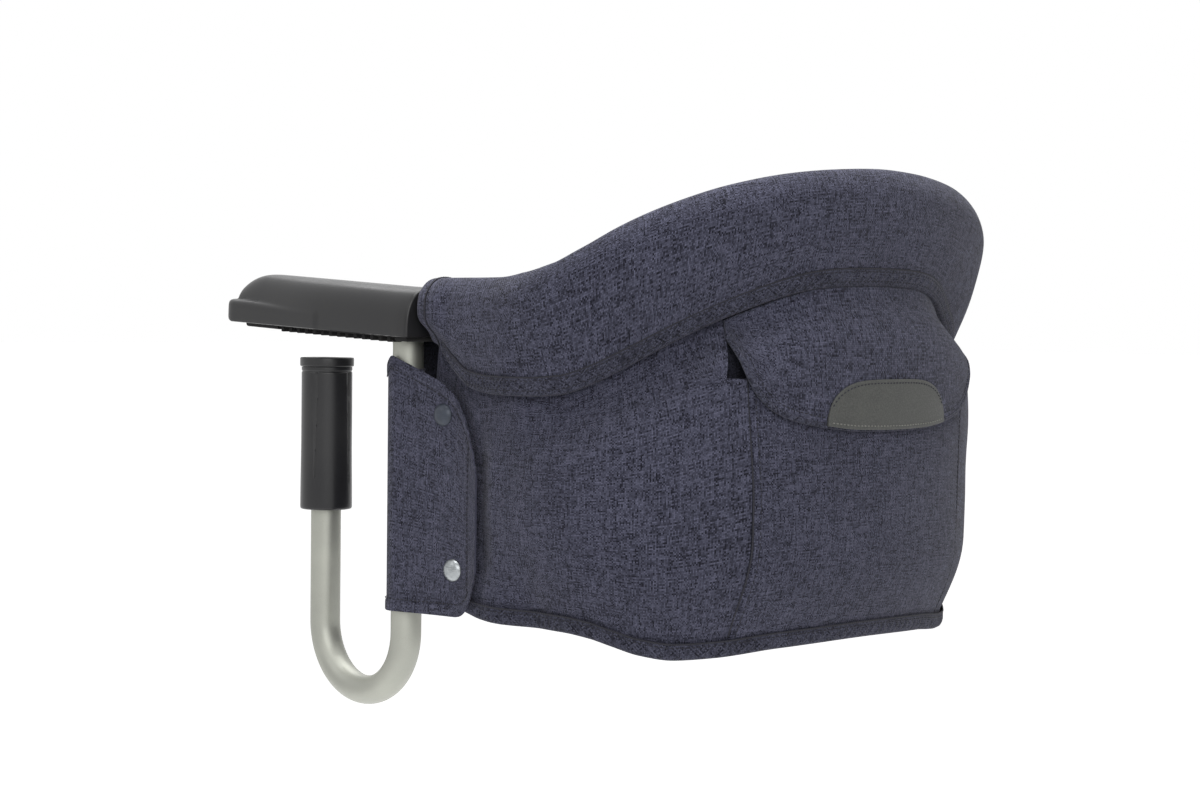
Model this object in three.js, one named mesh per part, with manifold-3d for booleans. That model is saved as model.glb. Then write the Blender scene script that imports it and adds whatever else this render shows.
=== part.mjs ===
// Hook-on table chair: a fabric seat on a bent hoop, held to a table edge by two folding screw clamps.
// Units are millimetres. +Z is up, the table is towards -Y, the seat's back towards +Y, its right side is +X.
// The origin lies midway between the two rear legs, in the plane of the table top at the legs.
import * as THREE from 'three';
import Module from 'manifold-3d';

const wasm = await Module();
wasm.setup();

// Clamp frame
const TUBE_R = 9.0;
const TUBE_WALL = 1.5;
const LEG_X = 172;
const LEG_SPACING = 76;
const U_BOTTOM_Z = -208;
const UPPER_BEND_R = 22;
const FRONT_LEG_TOP_Z = -86;
const TUBE_SEGMENTS = 12;

// Arms
const ARM_PITCH = THREE.MathUtils.degToRad(2.5);
const ARM_TIP = 156.5;
const ARM_REAR = -22;
const ARM_HALF_WIDTH = 21;
const ARM_HEIGHT_REAR = 31;
const ARM_HEIGHT_FRONT = 32.6;
const ARM_WALL = 3;
const SHELL_BOTTOM = 2.6;
const LEDGE_HEIGHT = 16.5;
const DOME_FRONT = 155;
const ARM_TUBE_HEIGHT = 18;
const ARM_TUBE_END = 136;
const SCREW_HEAD_H = 1.8;
const SCREW_HEAD_GAP = 0.4;
const SCREW_TIP_COVER = 1.6;
const PAD_GAP = 0.6;
const SCREW_HEAD_TOP = ARM_TUBE_HEIGHT - TUBE_R - SCREW_HEAD_GAP;
const PAD_THICKNESS = SCREW_HEAD_TOP - SCREW_HEAD_H - PAD_GAP;
const RIB_PITCH = 7.9;
const RIB_GROOVE = 3.2;
const RIB_DEPTH = 1.8;
const RIB_COUNT = 15;
const RIB_FIRST = 104;
const SCREW_PLACES = [40, 112];
const SADDLE_PLACES = [28, 126];

// Screw clamps
const CAP_R = 16.15;
const CAP_TOP_Z = -11.8;
const CAP_BOTTOM_Z = -17.2;
const GRIP_R = 15.2;
const GRIP_TOP_Z = -17.5;
const GRIP_BOTTOM_Z = -103;
const SCREW_TRAVEL = 62;
const NUT_FLANGE_H = 2.2;
const GRIP_CEILING_Z = FRONT_LEG_TOP_Z + NUT_FLANGE_H + SCREW_TRAVEL + 0.4;
const GRIP_BORE_R = 9.45;
const ROD_R = 4.8;
const ROD_BOTTOM_Z = -102;
const NUT_LENGTH = 18;

// Fold hinges
const HINGE_Z = ARM_HEIGHT_REAR - 11;
const HOOP_R = 8;
const HOOP_WALL = 1.5;
const HOOP_END_Y = 25;
const COLLAR_R = 13;
const COLLAR_FRONT_Y = 23.9;
const COLLAR_REAR_Y = 31.5;
const SPIGOT_R = 6.15;
const SPIGOT_END_Y = 46;
const HINGE_PIN_Y = 28;

// Seat plan: straight sides, then half an ellipse round the back
const SIDE_END_Y = 100;
const PLAN_A = LEG_X;
const BODY_B = 115;
const HOOP_B = 107;

// Seat heights along the plan. The first number runs from 0 at the back's middle, 1 at the
// end of the straight side, to 2 at the rear leg.
const RIM_ROLL_R = 17;
const RIM_RISE = [[0, 64], [0.1, 62.8], [0.25, 59.4], [0.41, 51.6], [0.5, 45], [0.59, 37.6], [0.68, 29],
  [0.78, 18.2], [0.88, 9.4], [1, 3.2], [1.2, 0.2], [1.4, 0], [2, 0]];
const RIM_TOP = RIM_RISE.map(([w, rise]) => [w, HINGE_Z + RIM_ROLL_R + rise]);
const RIM_LOW = [[0, 34.5], [0.1, 34], [0.18, 32.2], [0.25, 28.2], [0.33, 21.7], [0.41, 14.3], [0.5, 5.4],
  [0.59, -4.2], [0.68, -13.2], [0.78, -21.6], [0.88, -26.9], [1, -28.3], [1.2, -28], [1.4, -25.5], [1.52, -18],
  [1.68, -4], [2, 4]];
const BASE_LOW = [[0, -165], [0.25, -166.5], [0.42, -169.5], [0.53, -171], [0.63, -168.8], [0.72, -165], [0.8, -162], [0.9, -160.2],
  [1, -159.6], [1.2, -159], [1.4, -157.2], [1.6, -153], [2, -150]];
const RIM_FRONT_W = 1.735;
const RIM_END_HALF_WIDTH = 15.6;
const BASE_FRONT_W = 1.56;
const PANEL_FRONT_W = 1.86;
const SEAM_W = 0.37;
const BASE_TUCK = 9;
const BAND_LEAN = 8;
const RIM_HALF_WIDTH = 13;
const BASE_BINDING_H = 9;
const RIM_BINDING_H = 8.5;
const PANEL_THICKNESS = 2.6;
const SEAT_FRONT_Y = 56;
const SEAT_INSET = 16;
const CUSHION_TOP_Z = -130;
const BASE_PANEL_Z = -160;
const BASE_PANEL_H = 2;
const BOARD_Z = BASE_PANEL_Z + BASE_PANEL_H + 0.4;
const BOARD_H = 4;
const CUSHION_LOW_Z = BOARD_Z + BOARD_H + 0.4;
const FLAP_LOW = [[0, -47], [0.1, -46.5], [0.19, -44], [0.27, -40.5], [0.33, -35], [0.37, -27], [0.4, -16], [0.42, 4]];
const PATCH_W = 0.182;
const PATCH_LOW_Z = -44;
const PATCH_TOP_Z = -19.5;
const BELT_WIDTH = 25;
const BELT_THICKNESS = 1.6;

const materials = {
  tube: new THREE.MeshStandardMaterial({ name: 'tube_paint', color: 0xa8a79c, metalness: 0.5, roughness: 0.42 }),
  plastic: new THREE.MeshStandardMaterial({ name: 'moulded_plastic', color: 0x404044, roughness: 0.5 }),
  rubber: new THREE.MeshStandardMaterial({ name: 'pad_rubber', color: 0x141414, roughness: 0.85 }),
  steel: new THREE.MeshStandardMaterial({ name: 'bright_steel', color: 0xb0b0b0, metalness: 0.9, roughness: 0.35 }),
  fabric: new THREE.MeshStandardMaterial({ name: 'seat_fabric', color: 0x3e3e4c, roughness: 0.95 }),
  binding: new THREE.MeshStandardMaterial({ name: 'binding_tape', color: 0x2b2b36, roughness: 0.9 }),
  snap: new THREE.MeshStandardMaterial({ name: 'snap_metal', color: 0x59626e, metalness: 0.8, roughness: 0.4 }),
  leather: new THREE.MeshStandardMaterial({ name: 'patch_leather', color: 0x484845, roughness: 0.7 }),
  board: new THREE.MeshStandardMaterial({ name: 'seat_board', color: 0x2a2a2a, roughness: 0.8 }),
  webbing: new THREE.MeshStandardMaterial({ name: 'belt_webbing', color: 0x1d1d22, roughness: 0.9 }),
};

const part = new THREE.Group();
part.name = 'hook_on_table_chair';

function lookUp(table, w) {
  const a = Math.abs(w);
  for (let i = 1; i < table.length; i += 1) {
    if (a <= table[i][0]) {
      const [w0, z0] = table[i - 1];
      const [w1, z1] = table[i];
      return z0 + (z1 - z0) * (a - w0) / (w1 - w0);
    }
  }
  return table[table.length - 1][1];
}

function smooth(a, b, x) {
  const t = Math.min(1, Math.max(0, (x - a) / (b - a)));
  return t * t * (3 - 2 * t);
}

function range(a, b, n) {
  return Array.from({ length: n + 1 }, (_, i) => a + (b - a) * i / n);
}

// A point of the seat's plan, moved outwards by offset, at height z.
function planPoint(w, offset, z, b) {
  const side = Math.sign(w) || 1;
  const a = Math.abs(w);
  if (a > 1) {
    return new THREE.Vector3(side * (PLAN_A + offset), SIDE_END_Y * (2 - a), z);
  }
  const t = a * Math.PI / 2;
  const n = new THREE.Vector2(Math.sin(t) / PLAN_A, Math.cos(t) / b).normalize();
  return new THREE.Vector3(side * (PLAN_A * Math.sin(t) + offset * n.x), SIDE_END_Y + b * Math.cos(t) + offset * n.y, z);
}

// How far the seat's lower edge is drawn in: all round its back, fading out towards the legs.
function tuckAt(w) {
  return BASE_TUCK * (1 - smooth(1, 1.35, Math.abs(w)));
}

// How far a panel is drawn in at height z above that edge.
function tuckOf(w, z) {
  const rise = Math.min(1, Math.max(0, (z - lookUp(BASE_LOW, w) - BASE_BINDING_H) / 48));
  return tuckAt(w) * (1 - Math.sin(rise * Math.PI / 2));
}

// How far the rim's band leans in at its lower edge.
function leanAt(w) {
  return BAND_LEAN * (0.6 + 0.4 * smooth(0.15, 0.4, Math.abs(w))) * (1 - smooth(0.8, 1.1, Math.abs(w)));
}

function triangles(points, faces) {
  const g = new THREE.BufferGeometry();
  g.setAttribute('position', new THREE.Float32BufferAttribute(points.flatMap((p) => [p.x, p.y, p.z]), 3));
  let volume = 0;
  for (const [i, j, k] of faces) {
    volume += points[i].dot(new THREE.Vector3().crossVectors(points[j], points[k]));
  }
  g.setIndex((volume < 0 ? faces.map(([i, j, k]) => [i, k, j]) : faces).flat());
  return g;
}

// A solid skin of two facing point grids, closed along its four borders.
function sheetSolid(outer, inner) {
  const rows = outer.length;
  const cols = outer[0].length;
  const points = [...outer.flat(), ...inner.flat()];
  const o = (i, j) => i * cols + j;
  const n = (i, j) => rows * cols + i * cols + j;
  const faces = [];
  const quad = (a, b, c, d) => faces.push([a, b, c], [a, c, d]);
  for (let i = 0; i < rows - 1; i += 1) {
    for (let j = 0; j < cols - 1; j += 1) {
      quad(o(i, j), o(i, j + 1), o(i + 1, j + 1), o(i + 1, j));
      quad(n(i, j), n(i + 1, j), n(i + 1, j + 1), n(i, j + 1));
    }
    quad(o(i, 0), o(i + 1, 0), n(i + 1, 0), n(i, 0));
    quad(o(i, cols - 1), n(i, cols - 1), n(i + 1, cols - 1), o(i + 1, cols - 1));
  }
  for (let j = 0; j < cols - 1; j += 1) {
    quad(o(0, j), n(0, j), n(0, j + 1), o(0, j + 1));
    quad(o(rows - 1, j), o(rows - 1, j + 1), n(rows - 1, j + 1), n(rows - 1, j));
  }
  return triangles(points, faces);
}

// A solid through closed rings of equal count, with both ends closed to their middles.
function ringSolid(rings) {
  const m = rings[0].length;
  const points = rings.flat();
  const faces = [];
  for (let i = 0; i < rings.length - 1; i += 1) {
    for (let j = 0; j < m; j += 1) {
      const k = (j + 1) % m;
      faces.push([i * m + j, i * m + k, (i + 1) * m + k], [i * m + j, (i + 1) * m + k, (i + 1) * m + j]);
    }
  }
  const cap = (ring, base, flip) => {
    const c = ring.reduce((s, p) => s.add(p), new THREE.Vector3()).divideScalar(m);
    points.push(c);
    for (let j = 0; j < m; j += 1) {
      const k = (j + 1) % m;
      faces.push(flip ? [points.length - 1, base + k, base + j] : [points.length - 1, base + j, base + k]);
    }
  };
  cap(rings[0], 0, true);
  cap(rings[rings.length - 1], (rings.length - 1) * m, false);
  return triangles(points, faces);
}

// A hollow solid through pairs of rings, open at both ends.
function pipeSolid(outer, inner) {
  const m = outer[0].length;
  const rows = outer.length;
  const points = [...outer.flat(), ...inner.flat()];
  const at = (s, i, j) => s * rows * m + i * m + (j % m);
  const faces = [];
  const quad = (a, b, c, d) => faces.push([a, b, c], [a, c, d]);
  for (let j = 0; j < m; j += 1) {
    for (let i = 0; i < rows - 1; i += 1) {
      quad(at(0, i, j), at(0, i, j + 1), at(0, i + 1, j + 1), at(0, i + 1, j));
      quad(at(1, i, j), at(1, i + 1, j), at(1, i + 1, j + 1), at(1, i, j + 1));
    }
    quad(at(0, 0, j), at(1, 0, j), at(1, 0, j + 1), at(0, 0, j + 1));
    quad(at(0, rows - 1, j), at(0, rows - 1, j + 1), at(1, rows - 1, j + 1), at(1, rows - 1, j));
  }
  return triangles(points, faces);
}

// Points along a line with rounded corners: [{p, r}].
function roundedPath(corners, steps) {
  const path = [corners[0].p.clone()];
  for (let i = 1; i < corners.length - 1; i += 1) {
    const { p, r } = corners[i];
    const d0 = corners[i - 1].p.clone().sub(p).normalize();
    const d1 = corners[i + 1].p.clone().sub(p).normalize();
    const half = Math.acos(THREE.MathUtils.clamp(d0.dot(d1), -1, 1)) / 2;
    const centre = p.clone().add(d0.clone().add(d1).normalize().multiplyScalar(r / Math.sin(half)));
    const start = p.clone().add(d0.clone().multiplyScalar(r / Math.tan(half))).sub(centre);
    const end = p.clone().add(d1.clone().multiplyScalar(r / Math.tan(half))).sub(centre);
    const turn = start.angleTo(end);
    const n = Math.max(2, Math.round(steps * turn / Math.PI));
    for (let k = 0; k <= n; k += 1) {
      const q = start.clone().multiplyScalar(Math.sin((1 - k / n) * turn) / Math.sin(turn))
        .add(end.clone().multiplyScalar(Math.sin(k / n * turn) / Math.sin(turn)));
      path.push(centre.clone().add(q));
    }
  }
  path.push(corners[corners.length - 1].p.clone());
  return path.filter((q, i) => i === 0 || q.distanceTo(path[i - 1]) > 0.01);
}

// Round rings of radius r across a path. The across vector is kept fixed so the rings don't twist.
function pathRings(path, r, across, segments) {
  return path.map((p, i) => {
    const t = path[Math.min(i + 1, path.length - 1)].clone().sub(path[Math.max(i - 1, 0)]).normalize();
    const u = across.clone().addScaledVector(t, -across.dot(t)).normalize();
    const v = new THREE.Vector3().crossVectors(t, u);
    return range(0, 2 * Math.PI, segments).slice(0, segments)
      .map((a) => p.clone().addScaledVector(u, r * Math.cos(a)).addScaledVector(v, r * Math.sin(a)));
  });
}

// A turned solid about Z from a closed or axis-to-axis profile of [radius, z].
function turned(profile, segments = 24) {
  const g = new THREE.LatheGeometry(profile.map(([r, z]) => new THREE.Vector2(r, z)), segments);
  g.rotateX(Math.PI / 2);
  const pos = g.attributes.position;
  const index = Array.from(g.index.array);
  const points = Array.from({ length: pos.count }, (_, i) => new THREE.Vector3().fromBufferAttribute(pos, i));
  const faces = Array.from({ length: index.length / 3 }, (_, i) => index.slice(3 * i, 3 * i + 3));
  return triangles(points, faces.filter(([i, j, k]) => {
    const side = points[j].clone().sub(points[i]);
    return side.cross(points[k].clone().sub(points[i])).length() > 1e-7;
  }));
}

function rod(r, from, to, segments = 16) {
  const axis = to.clone().sub(from);
  const g = new THREE.CylinderGeometry(r, r, axis.length(), segments);
  g.applyQuaternion(new THREE.Quaternion().setFromUnitVectors(new THREE.Vector3(0, 1, 0), axis.normalize()));
  const middle = from.clone().add(to).multiplyScalar(0.5);
  g.translate(middle.x, middle.y, middle.z);
  return g;
}

function block(x0, x1, y0, y1, z0, z1) {
  const g = new THREE.BoxGeometry(x1 - x0, y1 - y0, z1 - z0);
  g.translate((x0 + x1) / 2, (y0 + y1) / 2, (z0 + z1) / 2);
  return g;
}

function toManifold(geometry) {
  const pos = geometry.attributes.position;
  const index = geometry.index ? Array.from(geometry.index.array) : Array.from({ length: pos.count }, (_, i) => i);
  const keys = new Map();
  const verts = [];
  const remap = [];
  for (let i = 0; i < pos.count; i += 1) {
    const key = [pos.getX(i), pos.getY(i), pos.getZ(i)].map((c) => Math.round(c * 2000)).join(',');
    if (!keys.has(key)) {
      keys.set(key, verts.length / 3);
      verts.push(pos.getX(i), pos.getY(i), pos.getZ(i));
    }
    remap.push(keys.get(key));
  }
  const tris = [];
  for (let i = 0; i < index.length; i += 3) {
    const [a, b, c] = [remap[index[i]], remap[index[i + 1]], remap[index[i + 2]]];
    if (a !== b && b !== c && a !== c) tris.push(a, b, c);
  }
  return new wasm.Manifold(new wasm.Mesh({
    numProp: 3, vertProperties: new Float32Array(verts), triVerts: new Uint32Array(tris),
  }));
}

function fromManifold(m) {
  const mesh = m.getMesh();
  const g = new THREE.BufferGeometry();
  const positions = [];
  for (let i = 0; i < mesh.vertProperties.length; i += mesh.numProp) {
    positions.push(mesh.vertProperties[i], mesh.vertProperties[i + 1], mesh.vertProperties[i + 2]);
  }
  g.setAttribute('position', new THREE.Float32BufferAttribute(positions, 3));
  g.setIndex(Array.from(mesh.triVerts));
  return g;
}

function cut(geometry, ...tools) {
  return fromManifold(tools.reduce((m, t) => m.subtract(toManifold(t)), toManifold(geometry)));
}

function within(geometry, limit) {
  return fromManifold(toManifold(geometry).intersect(toManifold(limit)));
}

function join(geometry, ...more) {
  return fromManifold(more.reduce((m, t) => m.add(toManifold(t)), toManifold(geometry)));
}

function add(name, geometry, material) {
  const g = geometry.index ? geometry.toNonIndexed() : geometry;
  for (const key of Object.keys(g.attributes)) {
    if (key !== 'position') g.deleteAttribute(key);
  }
  g.computeVertexNormals();
  const mesh = new THREE.Mesh(g, material);
  mesh.name = name;
  part.add(mesh);
}

function mirrored(geometry) {
  const g = geometry.index ? geometry.toNonIndexed() : geometry.clone();
  const p = g.attributes.position;
  const out = [];
  for (let i = 0; i < p.count; i += 3) {
    for (const k of [i, i + 2, i + 1]) out.push(-p.getX(k), p.getY(k), p.getZ(k));
  }
  const m = new THREE.BufferGeometry();
  m.setAttribute('position', new THREE.Float32BufferAttribute(out, 3));
  return m;
}

function addPair(name, geometry, material) {
  add(`right_${name}`, geometry, material);
  add(`left_${name}`, mirrored(geometry), material);
}

// A point of the right arm: x across, a forward from the leg, h above the table plane.
function armPoint(x, a, h) {
  const c = Math.cos(ARM_PITCH);
  const s = Math.sin(ARM_PITCH);
  return new THREE.Vector3(LEG_X + x, -a * c + h * s, a * s + h * c);
}

function armBlock(x0, x1, a0, a1, h0, h1) {
  const g = block(x0, x1, -a1, -a0, h0, h1);
  g.rotateX(-ARM_PITCH);
  g.translate(LEG_X, 0, 0);
  return g;
}

// The arm's outline in side view: its top height and its half width along its length.
function armTop(a) {
  const straight = ARM_HEIGHT_REAR + (ARM_HEIGHT_FRONT - ARM_HEIGHT_REAR) * Math.max(0, a) / 123;
  if (a <= 122) return straight;
  const t = (a - 122) / (DOME_FRONT - 122);
  return LEDGE_HEIGHT - 0.5 + (straight - LEDGE_HEIGHT + 0.5) * Math.pow(Math.max(0, 1 - Math.pow(t, 2.4)), 0.62);
}

function domeWidth(a) {
  const rear = 1 - 0.06 * smooth(-14, ARM_REAR, a);
  return ARM_HALF_WIDTH * rear - 4.6 * smooth(62, 150, a) - 4.5 * smooth(146, DOME_FRONT, a);
}

function noseWidth(a) {
  const t = Math.max(0, (a - 142) / (ARM_TIP - 142));
  return 12 + (ARM_HALF_WIDTH - 12) * Math.pow(Math.max(0, 1 - Math.pow(t, 3)), 0.5);
}

function armRing(a, low, width, top) {
  return range(0, Math.PI, 9).map((f) => {
    const cx = Math.sign(Math.cos(f)) * Math.pow(Math.abs(Math.cos(f)), 0.6);
    const sz = Math.pow(Math.abs(Math.sin(f)), 0.6);
    return armPoint(width * cx * (1 - 0.05 * sz), a, low + (top - low) * sz);
  });
}

// Clamp tube: arm stretch, upper bend, rear leg, U bend and front leg in one piece.
const cornerZ = ARM_TUBE_HEIGHT / Math.cos(ARM_PITCH);
const tubePath = roundedPath([
  { p: armPoint(0, ARM_TUBE_END, ARM_TUBE_HEIGHT) },
  { p: new THREE.Vector3(LEG_X, 0, cornerZ), r: UPPER_BEND_R },
  { p: new THREE.Vector3(LEG_X, 0, U_BOTTOM_Z), r: LEG_SPACING / 2 - 0.02 },
  { p: new THREE.Vector3(LEG_X, -LEG_SPACING, U_BOTTOM_Z), r: LEG_SPACING / 2 - 0.02 },
  { p: new THREE.Vector3(LEG_X, -LEG_SPACING, FRONT_LEG_TOP_Z) },
], 10);
const acrossX = new THREE.Vector3(1, 0, 0);
const tubeHoles = SCREW_PLACES.map((a) => rod(2.3, armPoint(0, a, ARM_TUBE_HEIGHT - TUBE_R - 5), armPoint(0, a, ARM_TUBE_HEIGHT + TUBE_R + 5), 12));
addPair('clamp_tube', cut(pipeSolid(
  pathRings(tubePath, TUBE_R, acrossX, TUBE_SEGMENTS),
  pathRings(tubePath, TUBE_R - TUBE_WALL, acrossX, TUBE_SEGMENTS),
), ...tubeHoles), materials.tube);

// Arm shell: hollow moulding, open below, with saddles and screw bosses for the tube.
const shellStations = [-22, -20.5, 0, 62, 106, 122, 134, 143, DOME_FRONT - 6, DOME_FRONT - 2.2, DOME_FRONT];
const dome = ringSolid(shellStations.map((a) => {
  const trim = a < -21 ? 1.2 : 0;
  return armRing(a, SHELL_BOTTOM, domeWidth(a) - trim, armTop(a) - trim);
}));
const noseStations = [62, 100, 142, ARM_TIP - 9, ARM_TIP - 4.5, ARM_TIP - 1.5, ARM_TIP - 0.3];
const nose = ringSolid(noseStations.map((a) => {
  const w = noseWidth(a);
  const low = SHELL_BOTTOM + 3 * smooth(ARM_TIP - 9, ARM_TIP, a);
  const top = LEDGE_HEIGHT - 3 * (1 - smooth(62, 140, a)) - 1.5 * smooth(ARM_TIP - 4, ARM_TIP, a);
  return [[-w, low + 1], [-w + 1, low], [w - 1, low], [w, low + 1], [w, top - 2], [w - 2, top], [2 - w, top], [-w, top - 2]]
    .map(([x, h]) => armPoint(x, a, h));
}));
const shellBody = join(dome, nose);
const cavityStations = [-19, 0, 62, 106, 122, 134, 142];
const cavity = ringSolid(cavityStations.map((a) => armRing(a, SHELL_BOTTOM - 2, domeWidth(a) - ARM_WALL, armTop(a) - ARM_WALL)));
const saddles = SADDLE_PLACES.map((a) => armBlock(-ARM_HALF_WIDTH, ARM_HALF_WIDTH, a - 1.3, a + 1.3, PAD_THICKNESS + 1.8, armTop(a)));
const bosses = SCREW_PLACES.map((a) => rod(4.2, armPoint(0, a, ARM_TUBE_HEIGHT + TUBE_R + 0.5), armPoint(0, a, armTop(a)), 14));
const tubeClearance = rod(TUBE_R + 0.3, armPoint(0, 10, ARM_TUBE_HEIGHT), armPoint(0, 150, ARM_TUBE_HEIGHT), 14);
const tubeEntry = armBlock(-TUBE_R - 0.3, TUBE_R + 0.3, 10, 150, PAD_THICKNESS - 2.2, ARM_TUBE_HEIGHT);
const bossHoles = SCREW_PLACES.map((a) => rod(2.3, armPoint(0, a, ARM_TUBE_HEIGHT + 2), armPoint(0, a, armTop(a) - SCREW_TIP_COVER + 0.3), 12));
const spigotHole = rod(7.2, new THREE.Vector3(LEG_X, 15, HINGE_Z), new THREE.Vector3(LEG_X, 30, HINGE_Z), 24);
const coreStations = [-18, 0, 62, 106, 122, 134, 142];
const core = ringSolid(coreStations.map((a) => armRing(a, SHELL_BOTTOM - 2, domeWidth(a) - ARM_WALL + 1, armTop(a) - ARM_WALL + 1)));
const saddleSet = within(cut(join(saddles[0], ...saddles.slice(1), ...bosses), tubeClearance, tubeEntry), core);
const shell = cut(join(cut(shellBody, cavity), saddleSet), ...bossHoles, spigotHole);
addPair('arm_shell', shell, materials.plastic);

// Arm pad: rubber plate below the shell, grooved across where it rests on the table.
const padStations = [-18.6, -17.8, 0, 62, 106, 122, 134, 141];
const padRing = (a) => {
  const w = domeWidth(a) - ARM_WALL - 0.9;
  const low = a < -18 || a > 140 ? 0.8 : 0;
  return [armPoint(-w, a, PAD_THICKNESS), armPoint(-w, a, low + 0.8), armPoint(-w + 0.8, a, low),
    armPoint(w - 0.8, a, low), armPoint(w, a, low + 0.8), armPoint(w, a, PAD_THICKNESS)];
};
const grooves = range(0, RIB_COUNT - 1, RIB_COUNT - 1).map((k) => {
  const a = RIB_FIRST - RIB_PITCH * k;
  return armBlock(-25, 25, a - RIB_GROOVE / 2, a + RIB_GROOVE / 2, -3, RIB_DEPTH);
});
const legHole = rod(TUBE_R + 0.5, new THREE.Vector3(LEG_X, 0, -8), new THREE.Vector3(LEG_X, 0, 6), 24);
const bendRings = pathRings(tubePath, TUBE_R + 0.4, acrossX, TUBE_SEGMENTS);
const bendClearance = ringSolid(bendRings.slice(0, 12));
addPair('arm_pad', cut(ringSolid(padStations.map(padRing)), ...grooves, legHole, bendClearance), materials.rubber);

// Arm screws through the tube into the shell's bosses.
SCREW_PLACES.forEach((a, i) => {
  const up = armPoint(0, a, 1).sub(armPoint(0, a, 0)).normalize();
  const head = SCREW_HEAD_TOP - SCREW_HEAD_H;
  const tip = armTop(a) - SCREW_TIP_COVER;
  const g = turned([[0, head], [3.4, head], [3.6, head + 0.4], [3.6, SCREW_HEAD_TOP], [2, SCREW_HEAD_TOP],
    [2, tip - 0.5], [1.4, tip], [0, tip]], 12);
  g.applyQuaternion(new THREE.Quaternion().setFromUnitVectors(new THREE.Vector3(0, 0, 1), up));
  const foot = armPoint(0, a, 0);
  g.translate(foot.x, foot.y, foot.z);
  addPair(i === 0 ? 'arm_screw_rear' : 'arm_screw_front', g, materials.steel);
});

// Hinge knuckle: a block behind the tube's bend with the spigot that carries the hoop's end.
const knuckleBlock = block(LEG_X - 11.5, LEG_X + 11.5, -5, 17.8, HINGE_Z - 10.5, HINGE_Z + 4.2);
const spigot = rod(SPIGOT_R, new THREE.Vector3(LEG_X, 16, HINGE_Z), new THREE.Vector3(LEG_X, SPIGOT_END_Y, HINGE_Z), 20);
const alongY = new THREE.Quaternion().setFromUnitVectors(new THREE.Vector3(0, 0, 1), new THREE.Vector3(0, 1, 0));
const pinGroove = turned([[4.6, -2.2], [9, -2.2], [9, 2.2], [4.6, 2.2], [4.6, -2.2]], 20);
pinGroove.applyQuaternion(alongY);
pinGroove.translate(LEG_X, HINGE_PIN_Y, HINGE_Z);
const knuckleClearance = ringSolid(pathRings(tubePath, TUBE_R + 0.3, acrossX, TUBE_SEGMENTS).slice(0, 12));
addPair('hinge_knuckle', cut(join(cut(knuckleBlock, knuckleClearance), spigot), pinGroove), materials.steel);

// Hinge collar and its pin.
const collar = turned([[HOOP_R + 0.3, COLLAR_FRONT_Y], [COLLAR_R - 1, COLLAR_FRONT_Y], [COLLAR_R, COLLAR_FRONT_Y + 1],
  [COLLAR_R, COLLAR_REAR_Y - 1], [COLLAR_R - 1, COLLAR_REAR_Y], [HOOP_R + 0.3, COLLAR_REAR_Y],
  [HOOP_R + 0.3, COLLAR_FRONT_Y]], 20);
collar.applyQuaternion(alongY);
collar.translate(LEG_X, 0, HINGE_Z);
const pinTop = new THREE.Vector3(LEG_X, HINGE_PIN_Y, HINGE_Z + COLLAR_R + 2);
const pinHole = rod(1.8, new THREE.Vector3(LEG_X, HINGE_PIN_Y, HINGE_Z + 2), pinTop, 12);
addPair('hinge_collar', cut(collar, pinHole), materials.plastic);
addPair('hinge_pin', rod(1.5, new THREE.Vector3(LEG_X, HINGE_PIN_Y, HINGE_Z + 5),
  new THREE.Vector3(LEG_X, HINGE_PIN_Y, HINGE_Z + COLLAR_R - 0.4), 12), materials.steel);

// Back hoop: one bent tube from collar to collar.
const curveStations = [-1.64, -1.57, -1.5, -1.4, -1.25, ...range(-1.05, 1.05, 18), 1.25, 1.4, 1.5, 1.57, 1.64];
const hoopEndW = 2 - HOOP_END_Y / SIDE_END_Y;
const hoopStations = [-hoopEndW, ...curveStations, hoopEndW];
const hoopPath = hoopStations.map((w) => planPoint(w, 0, lookUp(RIM_TOP, w) - RIM_ROLL_R, HOOP_B));
const upZ = new THREE.Vector3(0, 0, 1);
const hoopPinHoles = [pinHole, mirrored(pinHole)];
add('back_hoop', cut(pipeSolid(pathRings(hoopPath, HOOP_R, upZ, 10), pathRings(hoopPath, HOOP_R - HOOP_WALL, upZ, 10)),
  ...hoopPinHoles), materials.tube);

// Screw clamp: nut in the front leg, long screw, twist grip and pressure cap.
const clampAt = (g) => {
  g.translate(LEG_X, -LEG_SPACING, 0);
  return g;
};
const nutTop = FRONT_LEG_TOP_Z + NUT_FLANGE_H;
addPair('leg_nut', clampAt(turned([[ROD_R + 0.3, nutTop], [8.6, nutTop], [8.6, FRONT_LEG_TOP_Z + 0.3],
  [7.2, FRONT_LEG_TOP_Z + 0.3], [7.2, FRONT_LEG_TOP_Z - NUT_LENGTH], [ROD_R + 0.3, FRONT_LEG_TOP_Z - NUT_LENGTH],
  [ROD_R + 0.3, nutTop]], 16)), materials.steel);
addPair('thread_rod', clampAt(turned([[0, ROD_BOTTOM_Z], [ROD_R - 0.8, ROD_BOTTOM_Z], [ROD_R, ROD_BOTTOM_Z + 1],
  [ROD_R, GRIP_TOP_Z + 0.3], [9, GRIP_TOP_Z + 0.3], [9, CAP_TOP_Z - 2.2], [0, CAP_TOP_Z - 2.2]], 16)), materials.steel);
const sleeve = turned([[ROD_R + 0.3, GRIP_TOP_Z], [GRIP_R, GRIP_TOP_Z], [GRIP_R, GRIP_BOTTOM_Z + 2.5],
  [GRIP_R - 0.8, GRIP_BOTTOM_Z + 0.7], [GRIP_R - 2.4, GRIP_BOTTOM_Z], [GRIP_BORE_R, GRIP_BOTTOM_Z],
  [GRIP_BORE_R, GRIP_CEILING_Z], [ROD_R + 0.3, GRIP_CEILING_Z], [ROD_R + 0.3, GRIP_TOP_Z]], 24);
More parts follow.
